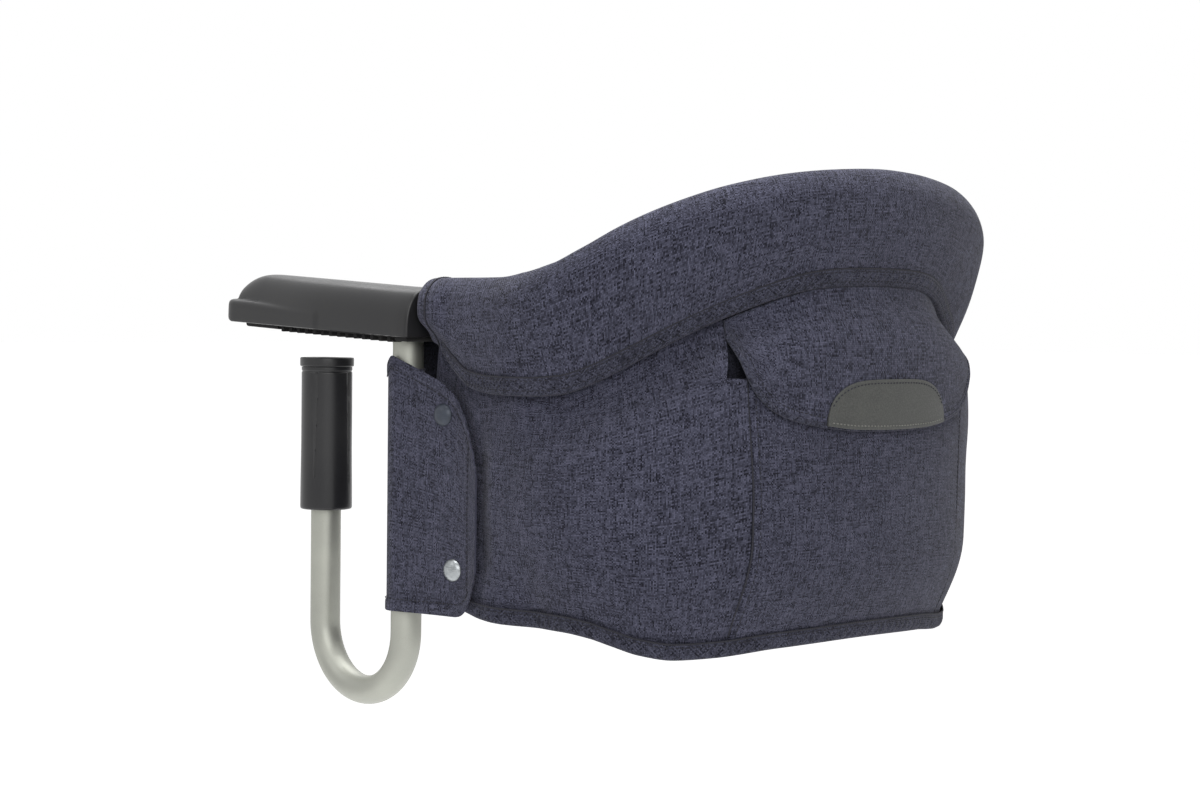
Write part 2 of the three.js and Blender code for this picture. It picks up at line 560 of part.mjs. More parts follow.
const flutes = [23, 113, 203, 293].map((turn) => {
  const g = block(-0.8, 0.8, GRIP_R - 0.9, GRIP_R + 4, -90, -21);
  g.rotateZ(THREE.MathUtils.degToRad(turn - 90));
  return g;
});
addPair('grip_sleeve', clampAt(cut(sleeve, ...flutes)), materials.plastic);
addPair('grip_cap', clampAt(turned([[0, CAP_TOP_Z], [CAP_R - 0.8, CAP_TOP_Z], [CAP_R, CAP_TOP_Z - 0.8],
  [CAP_R, CAP_BOTTOM_Z + 0.5], [CAP_R - 0.5, CAP_BOTTOM_Z], [9.5, CAP_BOTTOM_Z], [9.5, CAP_TOP_Z - 1.8],
  [0, CAP_TOP_Z - 1.8]], 24)), materials.plastic);

// Fabric round the rear leg, cut on a slant at its top.
const WRAP_TOP_Z = -9.5;
const WRAP_SLANT = 0.42;
const WRAP_LOW_Z = -156;
const WRAP_REAR_Y = 62;
const legRing = (r, z, slant) => range(0, 2 * Math.PI, 20).slice(0, 20)
  .map((f) => new THREE.Vector3(LEG_X + r * Math.cos(f), r * Math.sin(f), z - slant * r * Math.sin(f)));
addPair('leg_sleeve', pipeSolid([legRing(10.8, WRAP_LOW_Z, 0), legRing(10.8, WRAP_TOP_Z, WRAP_SLANT)],
  [legRing(9.3, WRAP_LOW_Z, 0), legRing(9.3, WRAP_TOP_Z, WRAP_SLANT)]), materials.fabric);

// Side flap: the wrapped fabric's tail, closed on the side panel by two snaps.
const flapTop = (y) => WRAP_TOP_Z - WRAP_SLANT * y - 40 * Math.pow(Math.max(0, (y - WRAP_REAR_Y + 32) / 32), 3.2);
const flapLow = (y) => WRAP_LOW_Z + 26 * Math.pow(Math.max(0, (y - WRAP_REAR_Y + 18) / 18), 3);
const flapX = (y) => 179.6 - 6.2 * smooth(8, WRAP_REAR_Y - 6, y);
const flapGrid = (d) => [12.6, 21, 30, 38, 45, 51, 56, 59.5, WRAP_REAR_Y].map((y) => range(0, 1, 6)
  .map((v) => new THREE.Vector3(flapX(y) + d, y, flapLow(y) + (flapTop(y) - flapLow(y)) * v)));
addPair('side_flap', sheetSolid(flapGrid(0), flapGrid(-1.6)), materials.fabric);
[['snap_upper', 36, -42], ['snap_lower', 44, -130]].forEach(([name, y, z]) => {
  const g = turned([[0, 0], [6, 0], [6.4, 0.5], [6.2, 1.3], [4.6, 2.1], [3.9, 1.8], [0, 1.6]], 12);
  g.rotateY(Math.PI / 2);
  g.rotateZ(Math.atan((flapX(y + 4) - flapX(y - 4)) / -8));
  g.translate(flapX(y) + 0.32, y, z);
  addPair(name, g, materials.snap);
});

// Seat panels hang inside the rim's band and end in the base binding.
const panelOffset = (v) => -4 + 4 * Math.sin(Math.min(1, v / 0.75) * Math.PI / 2);
const panelTop = (w) => {
  const low = lookUp(RIM_LOW, w);
  const front = smooth(1.56, 1.68, Math.abs(w));
  return (low + 9) * (1 - front) - 42 * front;
};
const panelLow = (w) => lookUp(BASE_LOW, w) + 2.2;
const panelGrid = (stations, offset, low, top, rows) => stations.map((w) => rows
  .map((v) => {
    const z = low(w) + (top(w) - low(w)) * v;
    return planPoint(w, offset(v, w) - tuckOf(w, z), z, BODY_B);
  }));
// A hanging panel follows the seat's own plan below and the hoop's plan under the band.
const panelRows = [0, 0.06, 0.13, 0.21, 0.31, 0.5, 0.667, 0.833, 1];
const hangingGrid = (stations, offset, depth, tuck) => stations.map((w) => panelRows.map((v) => {
  const z = panelLow(w) + (panelTop(w) - panelLow(w)) * v;
  const below = planPoint(w, offset(v) - depth - tuckOf(w, z), z, BODY_B);
  const under = planPoint(w, -tuck - depth - leanAt(w), z, HOOP_B);
  return below.lerp(under, smooth(0.5, 0.83, v));
}));
const sideStations = [...range(SEAM_W + 0.008, 1, 9), 1.1, 1.2, 1.35, 1.5, 1.56, 1.6, 1.64, 1.68, 1.76, PANEL_FRONT_W];
addPair('side_panel', sheetSolid(
  hangingGrid(sideStations, panelOffset, 0, 2.7),
  hangingGrid(sideStations, panelOffset, PANEL_THICKNESS, 2.7),
), materials.fabric);
const backStations = range(-SEAM_W, SEAM_W, 12);
const liningStations = range(-SEAM_W - 0.05, SEAM_W + 0.05, 12);
const backOffset = (v) => -8 + 2.6 * Math.sin(Math.min(1, v / 0.7) * Math.PI / 2);
add('back_panel', sheetSolid(
  hangingGrid(liningStations, backOffset, 0, 5.8),
  hangingGrid(liningStations, backOffset, PANEL_THICKNESS, 5.8),
), materials.fabric);

// Pocket on the back, its flap, the bare patch and the closure strips.
const pocketTop = (w) => -10 - 4 * Math.abs(w) / SEAM_W;
const pocketOffset = (v) => -4 + 4 * Math.sin(Math.min(1, v / 0.6) * Math.PI / 2);
add('pocket_panel', sheetSolid(
  panelGrid(backStations, pocketOffset, panelLow, pocketTop, panelRows),
  panelGrid(backStations, (v) => pocketOffset(v) - 1.8, panelLow, pocketTop, panelRows),
), materials.fabric);
const flapTopZ = (w) => lookUp(RIM_LOW, w) - 1.8;
const flapLowZ = (w) => lookUp(FLAP_LOW, w);
const flapSkin = (v, w) => -3.4 + 8 * smooth(0, 0.45, 1 - v) - leanAt(w) * (1 - smooth(0, 0.3, 1 - v));
const flapRows = range(0, 1, 8);
const flapStations = [...range(-0.415, -0.33, 4), ...range(-0.27, 0.27, 8), ...range(0.33, 0.415, 4)];
add('pocket_flap', sheetSolid(
  panelGrid(flapStations, flapSkin, flapLowZ, flapTopZ, flapRows),
  panelGrid(flapStations, (v, w) => flapSkin(v, w) - 2.2, flapLowZ, flapTopZ, flapRows),
), materials.fabric);
const bareStations = range(-PATCH_W, PATCH_W, 10);
add('flap_patch', sheetSolid(
  panelGrid(bareStations, () => 6.4, () => PATCH_LOW_Z, () => PATCH_TOP_Z, [0, 0.5, 1]),
  panelGrid(bareStations, () => 4.9, () => PATCH_LOW_Z, () => PATCH_TOP_Z, [0, 0.5, 1]),
), materials.leather);
const stripStations = range(-0.12, 0.12, 8);
[['loop_strip', 0.3, 0.9], ['hook_strip', 1.3, 2.1]].forEach(([name, inside, outside]) => {
  add(name, sheetSolid(
    panelGrid(stripStations, () => outside, () => -40, () => -24, [0, 0.5, 1]),
    panelGrid(stripStations, () => inside, () => -40, () => -24, [0, 0.5, 1]),
  ), materials.webbing);
});

// Rim cover: a padded roll on the hoop with a band hanging below it.
const rimStations = [-RIM_FRONT_W, ...curveStations, RIM_FRONT_W];
const rimOuter = (w) => {
  const drop = lookUp(RIM_TOP, w) - lookUp(RIM_LOW, w) - RIM_ROLL_R - 1;
  const end = 1 + (RIM_END_HALF_WIDTH / RIM_HALF_WIDTH - 1) * smooth(1.5, 1.64, Math.abs(w));
  const axisZ = lookUp(RIM_TOP, w) - RIM_ROLL_R;
  const section = [];
  for (const f of range(0, Math.PI, 6)) {
    section.push([RIM_HALF_WIDTH * end * Math.cos(f), RIM_ROLL_R * Math.sin(f)]);
  }
  const low = Math.max(14, drop);
  section.push([-RIM_HALF_WIDTH * end, -low * 0.18], [-8 * end, -Math.max(10.5, low * 0.42)], [-1.6, -low * 0.72], [0.4, -low * 0.99],
    [1.4, -low], [3.4, -low], [4.2, -low * 0.99], [5.8, -low * 0.72], [10 * end, -Math.max(10.5, low * 0.4)],
    [RIM_HALF_WIDTH * end, -low * 0.18]);
  return section.map(([o, z]) => planPoint(w, o - leanAt(w) * Math.max(0, -z / low), axisZ + z, HOOP_B));
};
const rimAngles = [...range(0, 180, 6), 200, 222, 246, 262, 267, 273, 278, 294, 318, 340];
const rimInner = (w) => {
  const axisZ = lookUp(RIM_TOP, w) - RIM_ROLL_R;
  return rimAngles.map((d) => {
    const f = THREE.MathUtils.degToRad(d);
    return planPoint(w, (HOOP_R + 0.8) * Math.cos(f), axisZ + (HOOP_R + 1.3) * Math.sin(f), HOOP_B);
  });
};
const collarRecess = rod(COLLAR_R + 0.4, new THREE.Vector3(LEG_X, 20, HINGE_Z), new THREE.Vector3(LEG_X, COLLAR_REAR_Y + 0.4, HINGE_Z), 24);
add('rim_cover', cut(pipeSolid(rimStations.map(rimOuter), rimStations.map(rimInner)), collarRecess, mirrored(collarRecess)),
  materials.fabric);

// Binding tapes: folded tape over the band's lower edge and round the seat's bottom edge.
const tapeOuter = (w) => {
  const z = lookUp(RIM_LOW, w);
  return [[7.6, z + RIM_BINDING_H], [5.4, z], [4.2, z - 1.2], [0.4, z - 1.2], [-1.3, z + 0.2], [-1.9, z + 6]]
    .map(([o, zz]) => planPoint(w, o - leanAt(w), zz, HOOP_B));
};
const tapeInner = (w) => {
  const z = lookUp(RIM_LOW, w);
  return [[6.8, z + RIM_BINDING_H], [4.7, z + 0.8], [3.8, z - 0.3], [0.7, z - 0.3], [-0.5, z + 0.6], [-1.1, z + 6]]
    .map(([o, zz]) => planPoint(w, o - leanAt(w), zz, HOOP_B));
};
const rimTapeStations = rimStations.filter((w) => Math.abs(w) < 1.62);
add('rim_binding', sheetSolid(rimTapeStations.map(tapeOuter), rimTapeStations.map(tapeInner)), materials.binding);
const baseStations = [-BASE_FRONT_W, -1.4, -1.27, -1.2, -1.1, ...range(-1, 1, 18), 1.1, 1.2, 1.27, 1.4, BASE_FRONT_W];
const baseOuter = (w) => {
  const z = lookUp(BASE_LOW, w);
  return [[-1.0, z + BASE_BINDING_H], [-2.2, z + 2], [-3.4, z], [-11, z], [-12.4, z + 1.4], [-12.6, z + 7]]
    .map(([o, zz]) => planPoint(w, o - tuckAt(w), zz, BODY_B));
};
const baseInner = (w) => {
  const z = lookUp(BASE_LOW, w);
  return [[-1.7, z + BASE_BINDING_H], [-2.9, z + 2.4], [-3.7, z + 1], [-10.6, z + 1], [-11.5, z + 2], [-11.7, z + 7]]
    .map(([o, zz]) => planPoint(w, o - tuckAt(w), zz, BODY_B));
};
add('base_binding', sheetSolid(baseStations.map(baseOuter), baseStations.map(baseInner)), materials.binding);

// Seat base: fabric underside, board and cushion, all cut to the same D shape.
function seatOutline(inset, z, front) {
  const last = 2 - front / SIDE_END_Y;
  const arc = [-last, -1.2, -1.1, ...range(-1, 1, 26), 1.1, 1.2, last].map((w) => planPoint(w, -inset - tuckAt(w), z, BODY_B));
  const [start, end] = [arc[arc.length - 1], arc[0]];
  return [...arc, ...range(1, 7, 6).map((k) => start.clone().lerp(end, k / 8))];
}
add('base_panel', ringSolid([0, BASE_PANEL_H].map((h) => seatOutline(SEAT_INSET - 2.6, BASE_PANEL_Z + h, SEAT_FRONT_Y - 2))),
  materials.fabric);
add('seat_board', ringSolid([0, BOARD_H].map((h) => seatOutline(SEAT_INSET, BOARD_Z + h, SEAT_FRONT_Y))),
  materials.board);
add('seat_cushion', ringSolid([[4, 0], [0.6, 0.13], [0, 0.38], [0.4, 0.67], [3, 0.876], [8, 0.975], [16, 1]].map(([d, share]) => {
  const z = CUSHION_LOW_Z + (CUSHION_TOP_Z - CUSHION_LOW_Z) * share;
  return seatOutline(SEAT_INSET + 1 + d, z, SEAT_FRONT_Y + 1 + d);
})), materials.fabric);

// Restraint: crotch strap, two waist belts and the buckle that joins them, lying on the cushion.
const strip = (points, half, across) => {
  const out = points.map(([a, z]) => [-half, half].map((b) => across(a, b, z + BELT_THICKNESS)));
  const low = points.map(([a, z]) => [-half, half].map((b) => across(a, b, z)));
  return sheetSolid(out, low);
};
const BELT_LOW_Z = CUSHION_TOP_Z + 0.3;
const BUCKLE_Y = 108;
add('crotch_strap', strip([[74, BELT_LOW_Z], [80, BELT_LOW_Z + 2], [86, BELT_LOW_Z + 5], [91.5, BELT_LOW_Z + 6]],
  BELT_WIDTH / 2, (a, b, z) => new THREE.Vector3(b, a, z)), materials.webbing);
addPair('waist_belt', strip([[24.6, BELT_LOW_Z + 6], [32, BELT_LOW_Z + 5], [42, BELT_LOW_Z + 1.4], [50, BELT_LOW_Z], [90, BELT_LOW_Z],
  [126, BELT_LOW_Z]], BELT_WIDTH / 2, (a, b, z) => new THREE.Vector3(a, BUCKLE_Y + b, z)), materials.webbing);
add('belt_buckle', ringSolid([[2, BELT_LOW_Z + 0.2], [0, BELT_LOW_Z + 2.2], [0, BELT_LOW_Z + 10], [2.4, BELT_LOW_Z + 12.5]].map(([d, z]) => {
  const [hx, hy, r] = [24 - d, 16 - d, 6];
  return [[1, 1], [-1, 1], [-1, -1], [1, -1]].flatMap(([sx, sy], q) => range(0, Math.PI / 2, 3).map((f) => new THREE.Vector3(
    sx * (hx - r) + r * Math.cos(f + q * Math.PI / 2), BUCKLE_Y + sy * (hy - r) + r * Math.sin(f + q * Math.PI / 2), z)));
})), materials.plastic);

export default part;
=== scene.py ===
"""Hook-on table chair: the visible surfaces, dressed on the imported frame.

Sizes are in millimetres and become metres when a mesh is made. The table is towards -Y, the seat's
back towards +Y and its right side is +X. The origin lies between the rear legs, on the table top.
"""
import logging
import math
from dataclasses import dataclass
from enum import Enum
from typing import Iterable, Sequence

import bmesh
import bpy
import numpy as np
from mathutils import Matrix


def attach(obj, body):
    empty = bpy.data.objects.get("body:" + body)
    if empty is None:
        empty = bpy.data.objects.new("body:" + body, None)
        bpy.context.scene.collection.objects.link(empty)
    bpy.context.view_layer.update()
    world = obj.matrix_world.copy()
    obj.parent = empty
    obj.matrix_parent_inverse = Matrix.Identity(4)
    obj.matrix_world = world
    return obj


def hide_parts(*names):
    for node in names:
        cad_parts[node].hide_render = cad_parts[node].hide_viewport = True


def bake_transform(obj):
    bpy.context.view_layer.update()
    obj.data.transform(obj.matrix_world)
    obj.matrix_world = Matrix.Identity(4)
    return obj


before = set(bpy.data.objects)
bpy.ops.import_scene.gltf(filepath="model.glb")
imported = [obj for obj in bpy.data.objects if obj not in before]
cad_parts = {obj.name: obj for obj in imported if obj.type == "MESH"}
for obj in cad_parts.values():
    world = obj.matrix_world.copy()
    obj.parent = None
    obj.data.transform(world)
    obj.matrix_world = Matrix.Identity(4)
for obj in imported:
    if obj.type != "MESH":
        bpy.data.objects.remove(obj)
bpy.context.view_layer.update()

Array = np.ndarray
Piece = bpy.types.Object
Socket = bpy.types.NodeSocket
Pair = tuple[float, float]
Rgb = tuple[int, int, int]
MM = 0.001
LEG_X = 172.0  # half the distance between the two clamps' legs
WHITE = (1.0, 1.0, 1.0, 1.0)
WAVES = 7  # sine waves that make up one ripple of the cloth
WAVE_LENGTHS = (38, 110)  # shortest and longest of them
log = logging.getLogger("table_chair")


class Side(Enum):
    """The seat's two sides; the value is the sign of X."""

    RIGHT = 1
    LEFT = -1

    @property
    def label(self) -> str:
        """The side's name as the frame spells it."""
        return self.name.lower()


class Thread(Enum):
    """Sewing threads, with stitch pitch, stitch length and thread radius in millimetres."""

    SEAM = (3.0, 2.3, 0.36)
    PATCH = (2.6, 1.7, 0.40)
    # The last row: thick overlapping dark stitches that make one continuous dark line along a seam, painted
    # shade of its groove.
    SEAM_SHADE = (1.6, 2.4, 0.7)


def smooth(a: float, b: float, x: Array | float) -> Array:
    """The share, from 0 to 1, that eases from 0 at a to 1 at b; b may lie below a."""
    t = np.clip((np.asarray(x, float) - a) / (b - a), 0.0, 1.0)
    return t * t * (3.0 - 2.0 * t)


def unit(v: Array) -> Array:
    """Vectors scaled to length one."""
    return v / np.maximum(np.linalg.norm(v, axis=-1, keepdims=True), 1e-9)


def linear(rgb: Rgb) -> tuple[float, float, float, float]:
    """A screen colour of 0 to 255 values as the linear colour, with alpha 1, that shaders take."""
    c = [x / 255.0 for x in rgb]
    c = [x / 12.92 if x <= 0.04045 else ((x + 0.055) / 1.055) ** 2.4 for x in c]
    return c[0], c[1], c[2], 1.0


def spots(x: Array | float, y: Array | float, z: Array | float) -> Array:
    """Points from their three coordinates, which may differ in shape."""
    return np.stack(np.broadcast_arrays(x, y, z), -1)


def rise(share: Array | float) -> Array:
    """A quarter of a sine wave: 0 at share 0, and levelling out at 1 for share 1."""
    return np.sin(share * math.pi / 2)


def run_of(points: Array) -> Array:
    """Distance along a line at each of its points."""
    return np.concatenate([[0.0], np.cumsum(np.linalg.norm(np.diff(points, axis=0), axis=1))])


def resampled(points: Array, run: Array, places: Array) -> Array:
    """Points at new places along a line, whose own points lie at the distances of run."""
    return np.stack([np.interp(places, run, column) for column in points.T], -1)


class Profile:
    """A smooth height curve through pairs of place and height, the same on both sides of place 0."""

    def __init__(self, pairs: Sequence[Pair]) -> None:
        """Fits monotone cubic stretches through the pairs.

        Args:
            pairs: Place and height, with rising places.
        """
        self.x = np.array([p[0] for p in pairs], float)
        self.y = np.array([p[1] for p in pairs], float)
        self.h = np.diff(self.x)
        d = np.diff(self.y) / self.h
        slope = np.zeros(len(self.x))
        same = d[:-1] * d[1:] > 0
        w1 = 2.0 * self.h[1:] + self.h[:-1]
        w2 = self.h[1:] + 2.0 * self.h[:-1]
        safe = np.where(same, d[:-1] * d[1:], 1.0)
        slope[1:-1] = np.where(same, (w1 + w2) * safe / (w1 * d[1:] + w2 * d[:-1] + (~same)), 0.0)
        slope[-1] = d[-1]
        self.slope = slope

    def __call__(self, place: Array | float) -> Array:
        """Height at one place or many."""
        a = np.clip(np.abs(np.asarray(place, float)), self.x[0], self.x[-1])
        i = np.clip(np.searchsorted(self.x, a, side="right") - 1, 0, len(self.h) - 1)
        t = (a - self.x[i]) / self.h[i]
        y0, y1 = self.y[i], self.y[i + 1]
        m0, m1 = self.slope[i] * self.h[i], self.slope[i + 1] * self.h[i]
        t2, t3 = t * t, t * t * t
        return (y0 * (2 * t3 - 3 * t2 + 1) + m0 * (t3 - 2 * t2 + t)
                + y1 * (3 * t2 - 2 * t3) + m1 * (t3 - t2))


@dataclass(frozen=True)
class SeatPlan:
    """A seat outline seen from above: straight sides, then half an ellipse round the back.

    A place along it runs from 0 at the back's middle over 1 at the side's end to 2 at the rear leg.
    """

    depth: float
    half_width: float = LEG_X
    side_end: float = 100.0

    def point(self, place: Array, offset: Array, z: Array) -> Array:
        """Points of the outline, moved outwards and set to a height.

        Args:
            place: Places along the outline.
            offset: How far outwards, in millimetres.
            z: Heights.

        Returns:
            Points, with the last axis of length 3.
        """
        place, offset, z = np.broadcast_arrays(*(np.asarray(v, float) for v in (place, offset, z)))
        side = np.where(place < 0, -1.0, 1.0)
        a = np.abs(place)
        t = np.minimum(a, 1.0) * math.pi / 2
        n = unit(np.stack([np.sin(t) / self.half_width, np.cos(t) / self.depth], -1))
        x = self.half_width * np.sin(t) + offset * n[..., 0]
        y = self.side_end + self.depth * np.cos(t) + offset * n[..., 1]
        return spots(side * x, np.where(a > 1.0, self.side_end * (2.0 - a), y), z)


@dataclass(frozen=True)
class SeatShape:
    """Plans, heights and seams that all the seat's fabric pieces share."""

    hoop: SeatPlan = SeatPlan(depth=107.0)
    body: SeatPlan = SeatPlan(depth=115.0)
    rim_top: Profile = Profile((
        (0, 101), (0.1, 99.8), (0.25, 96.4), (0.41, 88.6), (0.5, 82), (0.59, 74.6), (0.68, 66),
        (0.78, 55.2), (0.88, 46.4), (1, 40.2), (1.2, 37.2), (1.4, 37), (2, 37)))
    rim_low: Profile = Profile((
        (0, 34.5), (0.1, 34), (0.18, 32.2), (0.25, 28.2), (0.33, 21.7), (0.41, 14.3), (0.5, 5.4),
        (0.59, -4.2), (0.68, -13.2), (0.78, -21.6), (0.88, -26.9), (1, -28.3), (1.2, -28),
        (1.4, -25.5), (1.52, -18), (1.68, -4), (2, 4)))
    base_low: Profile = Profile((
        (0, -167), (0.25, -169), (0.42, -172.6), (0.53, -173.6), (0.63, -171), (0.72, -166.2),
        (0.8, -162.4), (0.9, -160.2), (1, -159.6), (1.2, -159), (1.4, -157.2), (1.6, -153), (2, -150)))
    flap_low: Profile = Profile((
        (0, -47), (0.1, -46.5), (0.19, -44), (0.26, -40.5), (0.315, -35), (0.352, -27), (0.381, -15),
        (0.398, -2), (0.41, 9)))
    roll: float = 17.0
    half_roll: float = 13.0
    rim_front: float = 1.755
    base_front: float = 1.56
    panel_front: float = 1.875
    seam: float = 0.3735
    base_tuck: float = 12.0
    tuck_height: float = 48.0
    band_lean: float = 13.5
    tape_height: float = 9.0
    panel_lift: float = 2.2
    panel_overlap: float = 9.0
    panel_front_top: float = -36.0
    leave_below: float = 16.0
    leave_over: float = 38.0

    def tuck_at(self, w: Array) -> Array:
        """How far the seat's lower edge is drawn in, fading out towards the legs."""
        return self.base_tuck * (1 - smooth(1.0, 1.35, np.abs(w)))

    def tuck(self, w: Array, z: Array) -> Array:
        """How far a panel is drawn in at a height above that edge."""
        share = np.clip((z - self.base_low(w) - self.tape_height) / self.tuck_height, 0.0, 1.0)
        return self.tuck_at(w) * (1 - rise(share))

    def lean(self, w: Array) -> Array:
        """How far the rim's band leans in at its lower edge."""
        a = np.abs(w)
        return self.band_lean * (0.36 + 0.64 * smooth(0.15, 0.45, a)) * (1 - smooth(0.75, 1.15, a))

    def panel_low(self, w: Array) -> Array:
        """Lower edge of the hanging panels."""
        return self.base_low(w) + self.panel_lift

    def panel_top(self, w: Array) -> Array:
        """Upper edge of the hanging panels, hidden behind the rim's band."""
        a = np.abs(w)
        front = smooth(1.75, 1.80, a)
        behind = self.rim_low(w) + self.panel_overlap - 5.0 * smooth(1.3, 1.55, a)
        return behind * (1 - front) + self.panel_front_top * front

    @staticmethod
    def flare(z: Array) -> Array:
        """How far the pocket's seam bows in along its height and flares out at its foot."""
        return 0.035 * smooth(-105.0, -168.0, z) - 0.019 * smooth(-15.0, -90.0, z)

    def cut_back(self, w: Array, z: Array) -> Array:
        """Places of a side panel that follows the pocket's seam and is cut back beside the mouth."""
        near = np.clip(1 - (np.abs(w) - self.seam) / 0.12, 0.0, 1.0)
        back = 0.050 * smooth(-18.0, -14.5, z) - 0.036 * smooth(-12.0, 12.0, z) + self.flare(z)
        return w + np.sign(w) * back * near

    def panel_height(self, w: Array, v: Array) -> Array:
        """Heights on a hanging panel for shares of it, from 0 below to 1 above."""
        return self.panel_low(w) + (self.panel_top(w) - self.panel_low(w)) * v

    def hanging(self, w: Array, v: Array, offset: Array, tuck: float, depth: float,
                fall: float = 0.0) -> Array:
        """Points of a panel that hangs from the hoop's plan to the seat's own plan.

        Args:
            w: Places along the outline.
            v: Shares of the panel's height, from 0 below to 1 above.
            offset: Outward offset of the outer face.
            tuck: How far the top lies inside the hoop's plan.
            depth: Distance below the outer face.
            fall: How much further down it leaves the hoop's plan.

        Returns:
            Points, with the last axis of length 3.
        """
        z = self.panel_height(w, v)
        below = self.body.point(w, offset - depth - self.tuck(w, z), z)
        under = self.hoop.point(w, -tuck - depth - self.lean(w) + 0 * z, z)
        near = 1 - smooth(0.42, 0.55, np.abs(w))
        drop = self.panel_top(w) - z - self.leave_below + 4.0 * near
        s = 1 - smooth(0.0, 1.0, drop / (self.leave_over - 14.0 * near + fall))
        s = np.broadcast_to(np.asarray(s)[..., None], below.shape)
        return below * (1 - s) + under * s


SEAT = SeatShape()


def linked(name: str, data: bpy.types.ID) -> Piece:
    """A new object in the scene that holds that data."""
    obj = bpy.data.objects.new(name, data)
    bpy.context.scene.collection.objects.link(obj)
    return obj


def shade_smooth(mesh: bpy.types.Mesh, sharp_deg: float) -> None:
    """Shades a mesh smooth, apart from edges that bend more than an angle."""
    mesh.polygons.foreach_set("use_smooth", [True] * len(mesh.polygons))
    mesh.set_sharp_from_angle(angle=math.radians(sharp_deg))


class MeshDraft:
    """Collects the points, faces and UVs of one piece before it becomes a Blender mesh."""

    def __init__(self) -> None:
        """Starts empty."""
        self.points: list[Array] = []
        self.faces: list[list[int]] = []
        self.uvs: list[Array] = []
        self.count = 0

    def add_net(self, net: Array, wrap: bool = False) -> Array:
        """Adds a net of quads with a UV map that measures the cloth.

        Args:
            net: Points as rows, columns, 3.
            wrap: Whether the last column joins the first.

        Returns:
            The point numbers as rows and columns.
        """
        rows, cols = net.shape[:2]
        index = self.count + np.arange(rows * cols).reshape(rows, cols)
        self.points.append(net.reshape(-1, 3))
        self.count += rows * cols
        full = np.concatenate([net, net[:, :1]], 1) if wrap else net
        marks = np.concatenate([index, index[:, :1]], 1) if wrap else index
        along = np.linalg.norm(np.diff(full, axis=0), axis=2).mean(1)
        across = np.linalg.norm(np.diff(full, axis=1), axis=2).mean(0)
        u = np.concatenate([[0.0], np.cumsum(along)])[:, None]
        v = np.concatenate([[0.0], np.cumsum(across)])[None, :]
        uv = np.stack(np.broadcast_arrays(u, v), -1)

        def corners(g: Array) -> Array:
            """The four corners of each quad."""
            return np.stack([g[:-1, :-1], g[:-1, 1:], g[1:, 1:], g[1:, :-1]], 2)

        self.faces.extend(corners(marks).reshape(-1, 4).tolist())
        self.uvs.append(corners(uv).reshape(-1, 2) * MM)
        return index

    def add_faces(self, faces: Sequence[Sequence[int]]) -> None:
        """Adds faces between points that are already there, with no UV size of their own."""
        for face in faces:
            self.faces.append(list(face))
            self.uvs.append(np.zeros((len(face), 2)))

    def add_rings(self, rings: Array) -> None:
        """Adds closed rings, and closes both ends by joining each ring's mirrored points.

        Args:
            rings: Points as stations, ring points, 3, with an even ring count.
        """
        index = self.add_net(rings, wrap=True)
        m = rings.shape[1]
        for row in (index[0], index[-1]):
            self.add_faces([[row[i], row[i + 1], row[m - 2 - i], row[m - 1 - i]]
                            for i in range(m // 2 - 1)])

    def add_fan(self, row: Array, centre: Array) -> None:
        """Closes a ring with triangles to a centre point."""
        self.points.append(np.asarray(centre, float).reshape(1, 3))
        hub = self.count
        self.count += 1
        self.add_faces([[row[i], row[(i + 1) % len(row)], hub] for i in range(len(row))])

    def make(self, name: str, finish: "Finish", sharp_deg: float = 40.0) -> Piece:
        """Makes the Blender object, with faces outwards.

        Args:
            name: The piece's name.
            finish: Its finish.
            sharp_deg: Edges that bend more than this stay crisp.

        Returns:
            The new object, at the origin.
        """
        mesh = bpy.data.meshes.new(name)
        mesh.from_pydata((np.concatenate(self.points) * MM).tolist(), [], self.faces)
        layer = mesh.uv_layers.new(name="UVMap")
        layer.data.foreach_set("uv", np.concatenate(self.uvs).astype(np.float32).ravel())
        work = bmesh.new()
        work.from_mesh(mesh)
        bmesh.ops.recalc_face_normals(work, faces=work.faces)
        work.to_mesh(mesh)
        work.free()
        shade_smooth(mesh, sharp_deg)
        mesh.materials.append(finish.material)
        return linked(name, mesh)

    @classmethod
    def piece(cls, name: str, rings: Array, finish: "Finish",
              sharp_deg: float = 40.0) -> Piece:
        """A piece of closed rings, with its ends closed as add_rings does."""
        draft = cls()
        draft.add_rings(rings)
        return draft.make(name, finish, sharp_deg)

    @classmethod
    def sheet(cls, name: str, outer: Array, inner: Array, finish: "Finish",
              sharp_deg: float = 60.0) -> Piece:
        """A sheet between its two faces, as sheet_rings takes them."""
        return cls.piece(name, sheet_rings(outer, inner), finish, sharp_deg)

    @classmethod
    def turned(cls, name: str, net: Array, finish: "Finish", sharp_deg: float) -> Piece:
        """A piece of closed rings whose two ends are fans to their middles."""
        draft = cls()
        index = draft.add_net(net, wrap=True)
        for end in (0, -1):
            draft.add_fan(index[end], net[end].mean(0))
        return draft.make(name, finish, sharp_deg)

    @classmethod
    def looped(cls, name: str, rings: Array, finish: "Finish",
               sharp_deg: float = 40.0) -> Piece:
        """A piece of closed rings whose last ring joins the first."""
        draft = cls()
        index = draft.add_net(rings, wrap=True)
        last, first = index[-1], index[0]
        draft.add_faces(np.stack([last, np.roll(last, -1), np.roll(first, -1), first], -1).tolist())
        return draft.make(name, finish, sharp_deg)


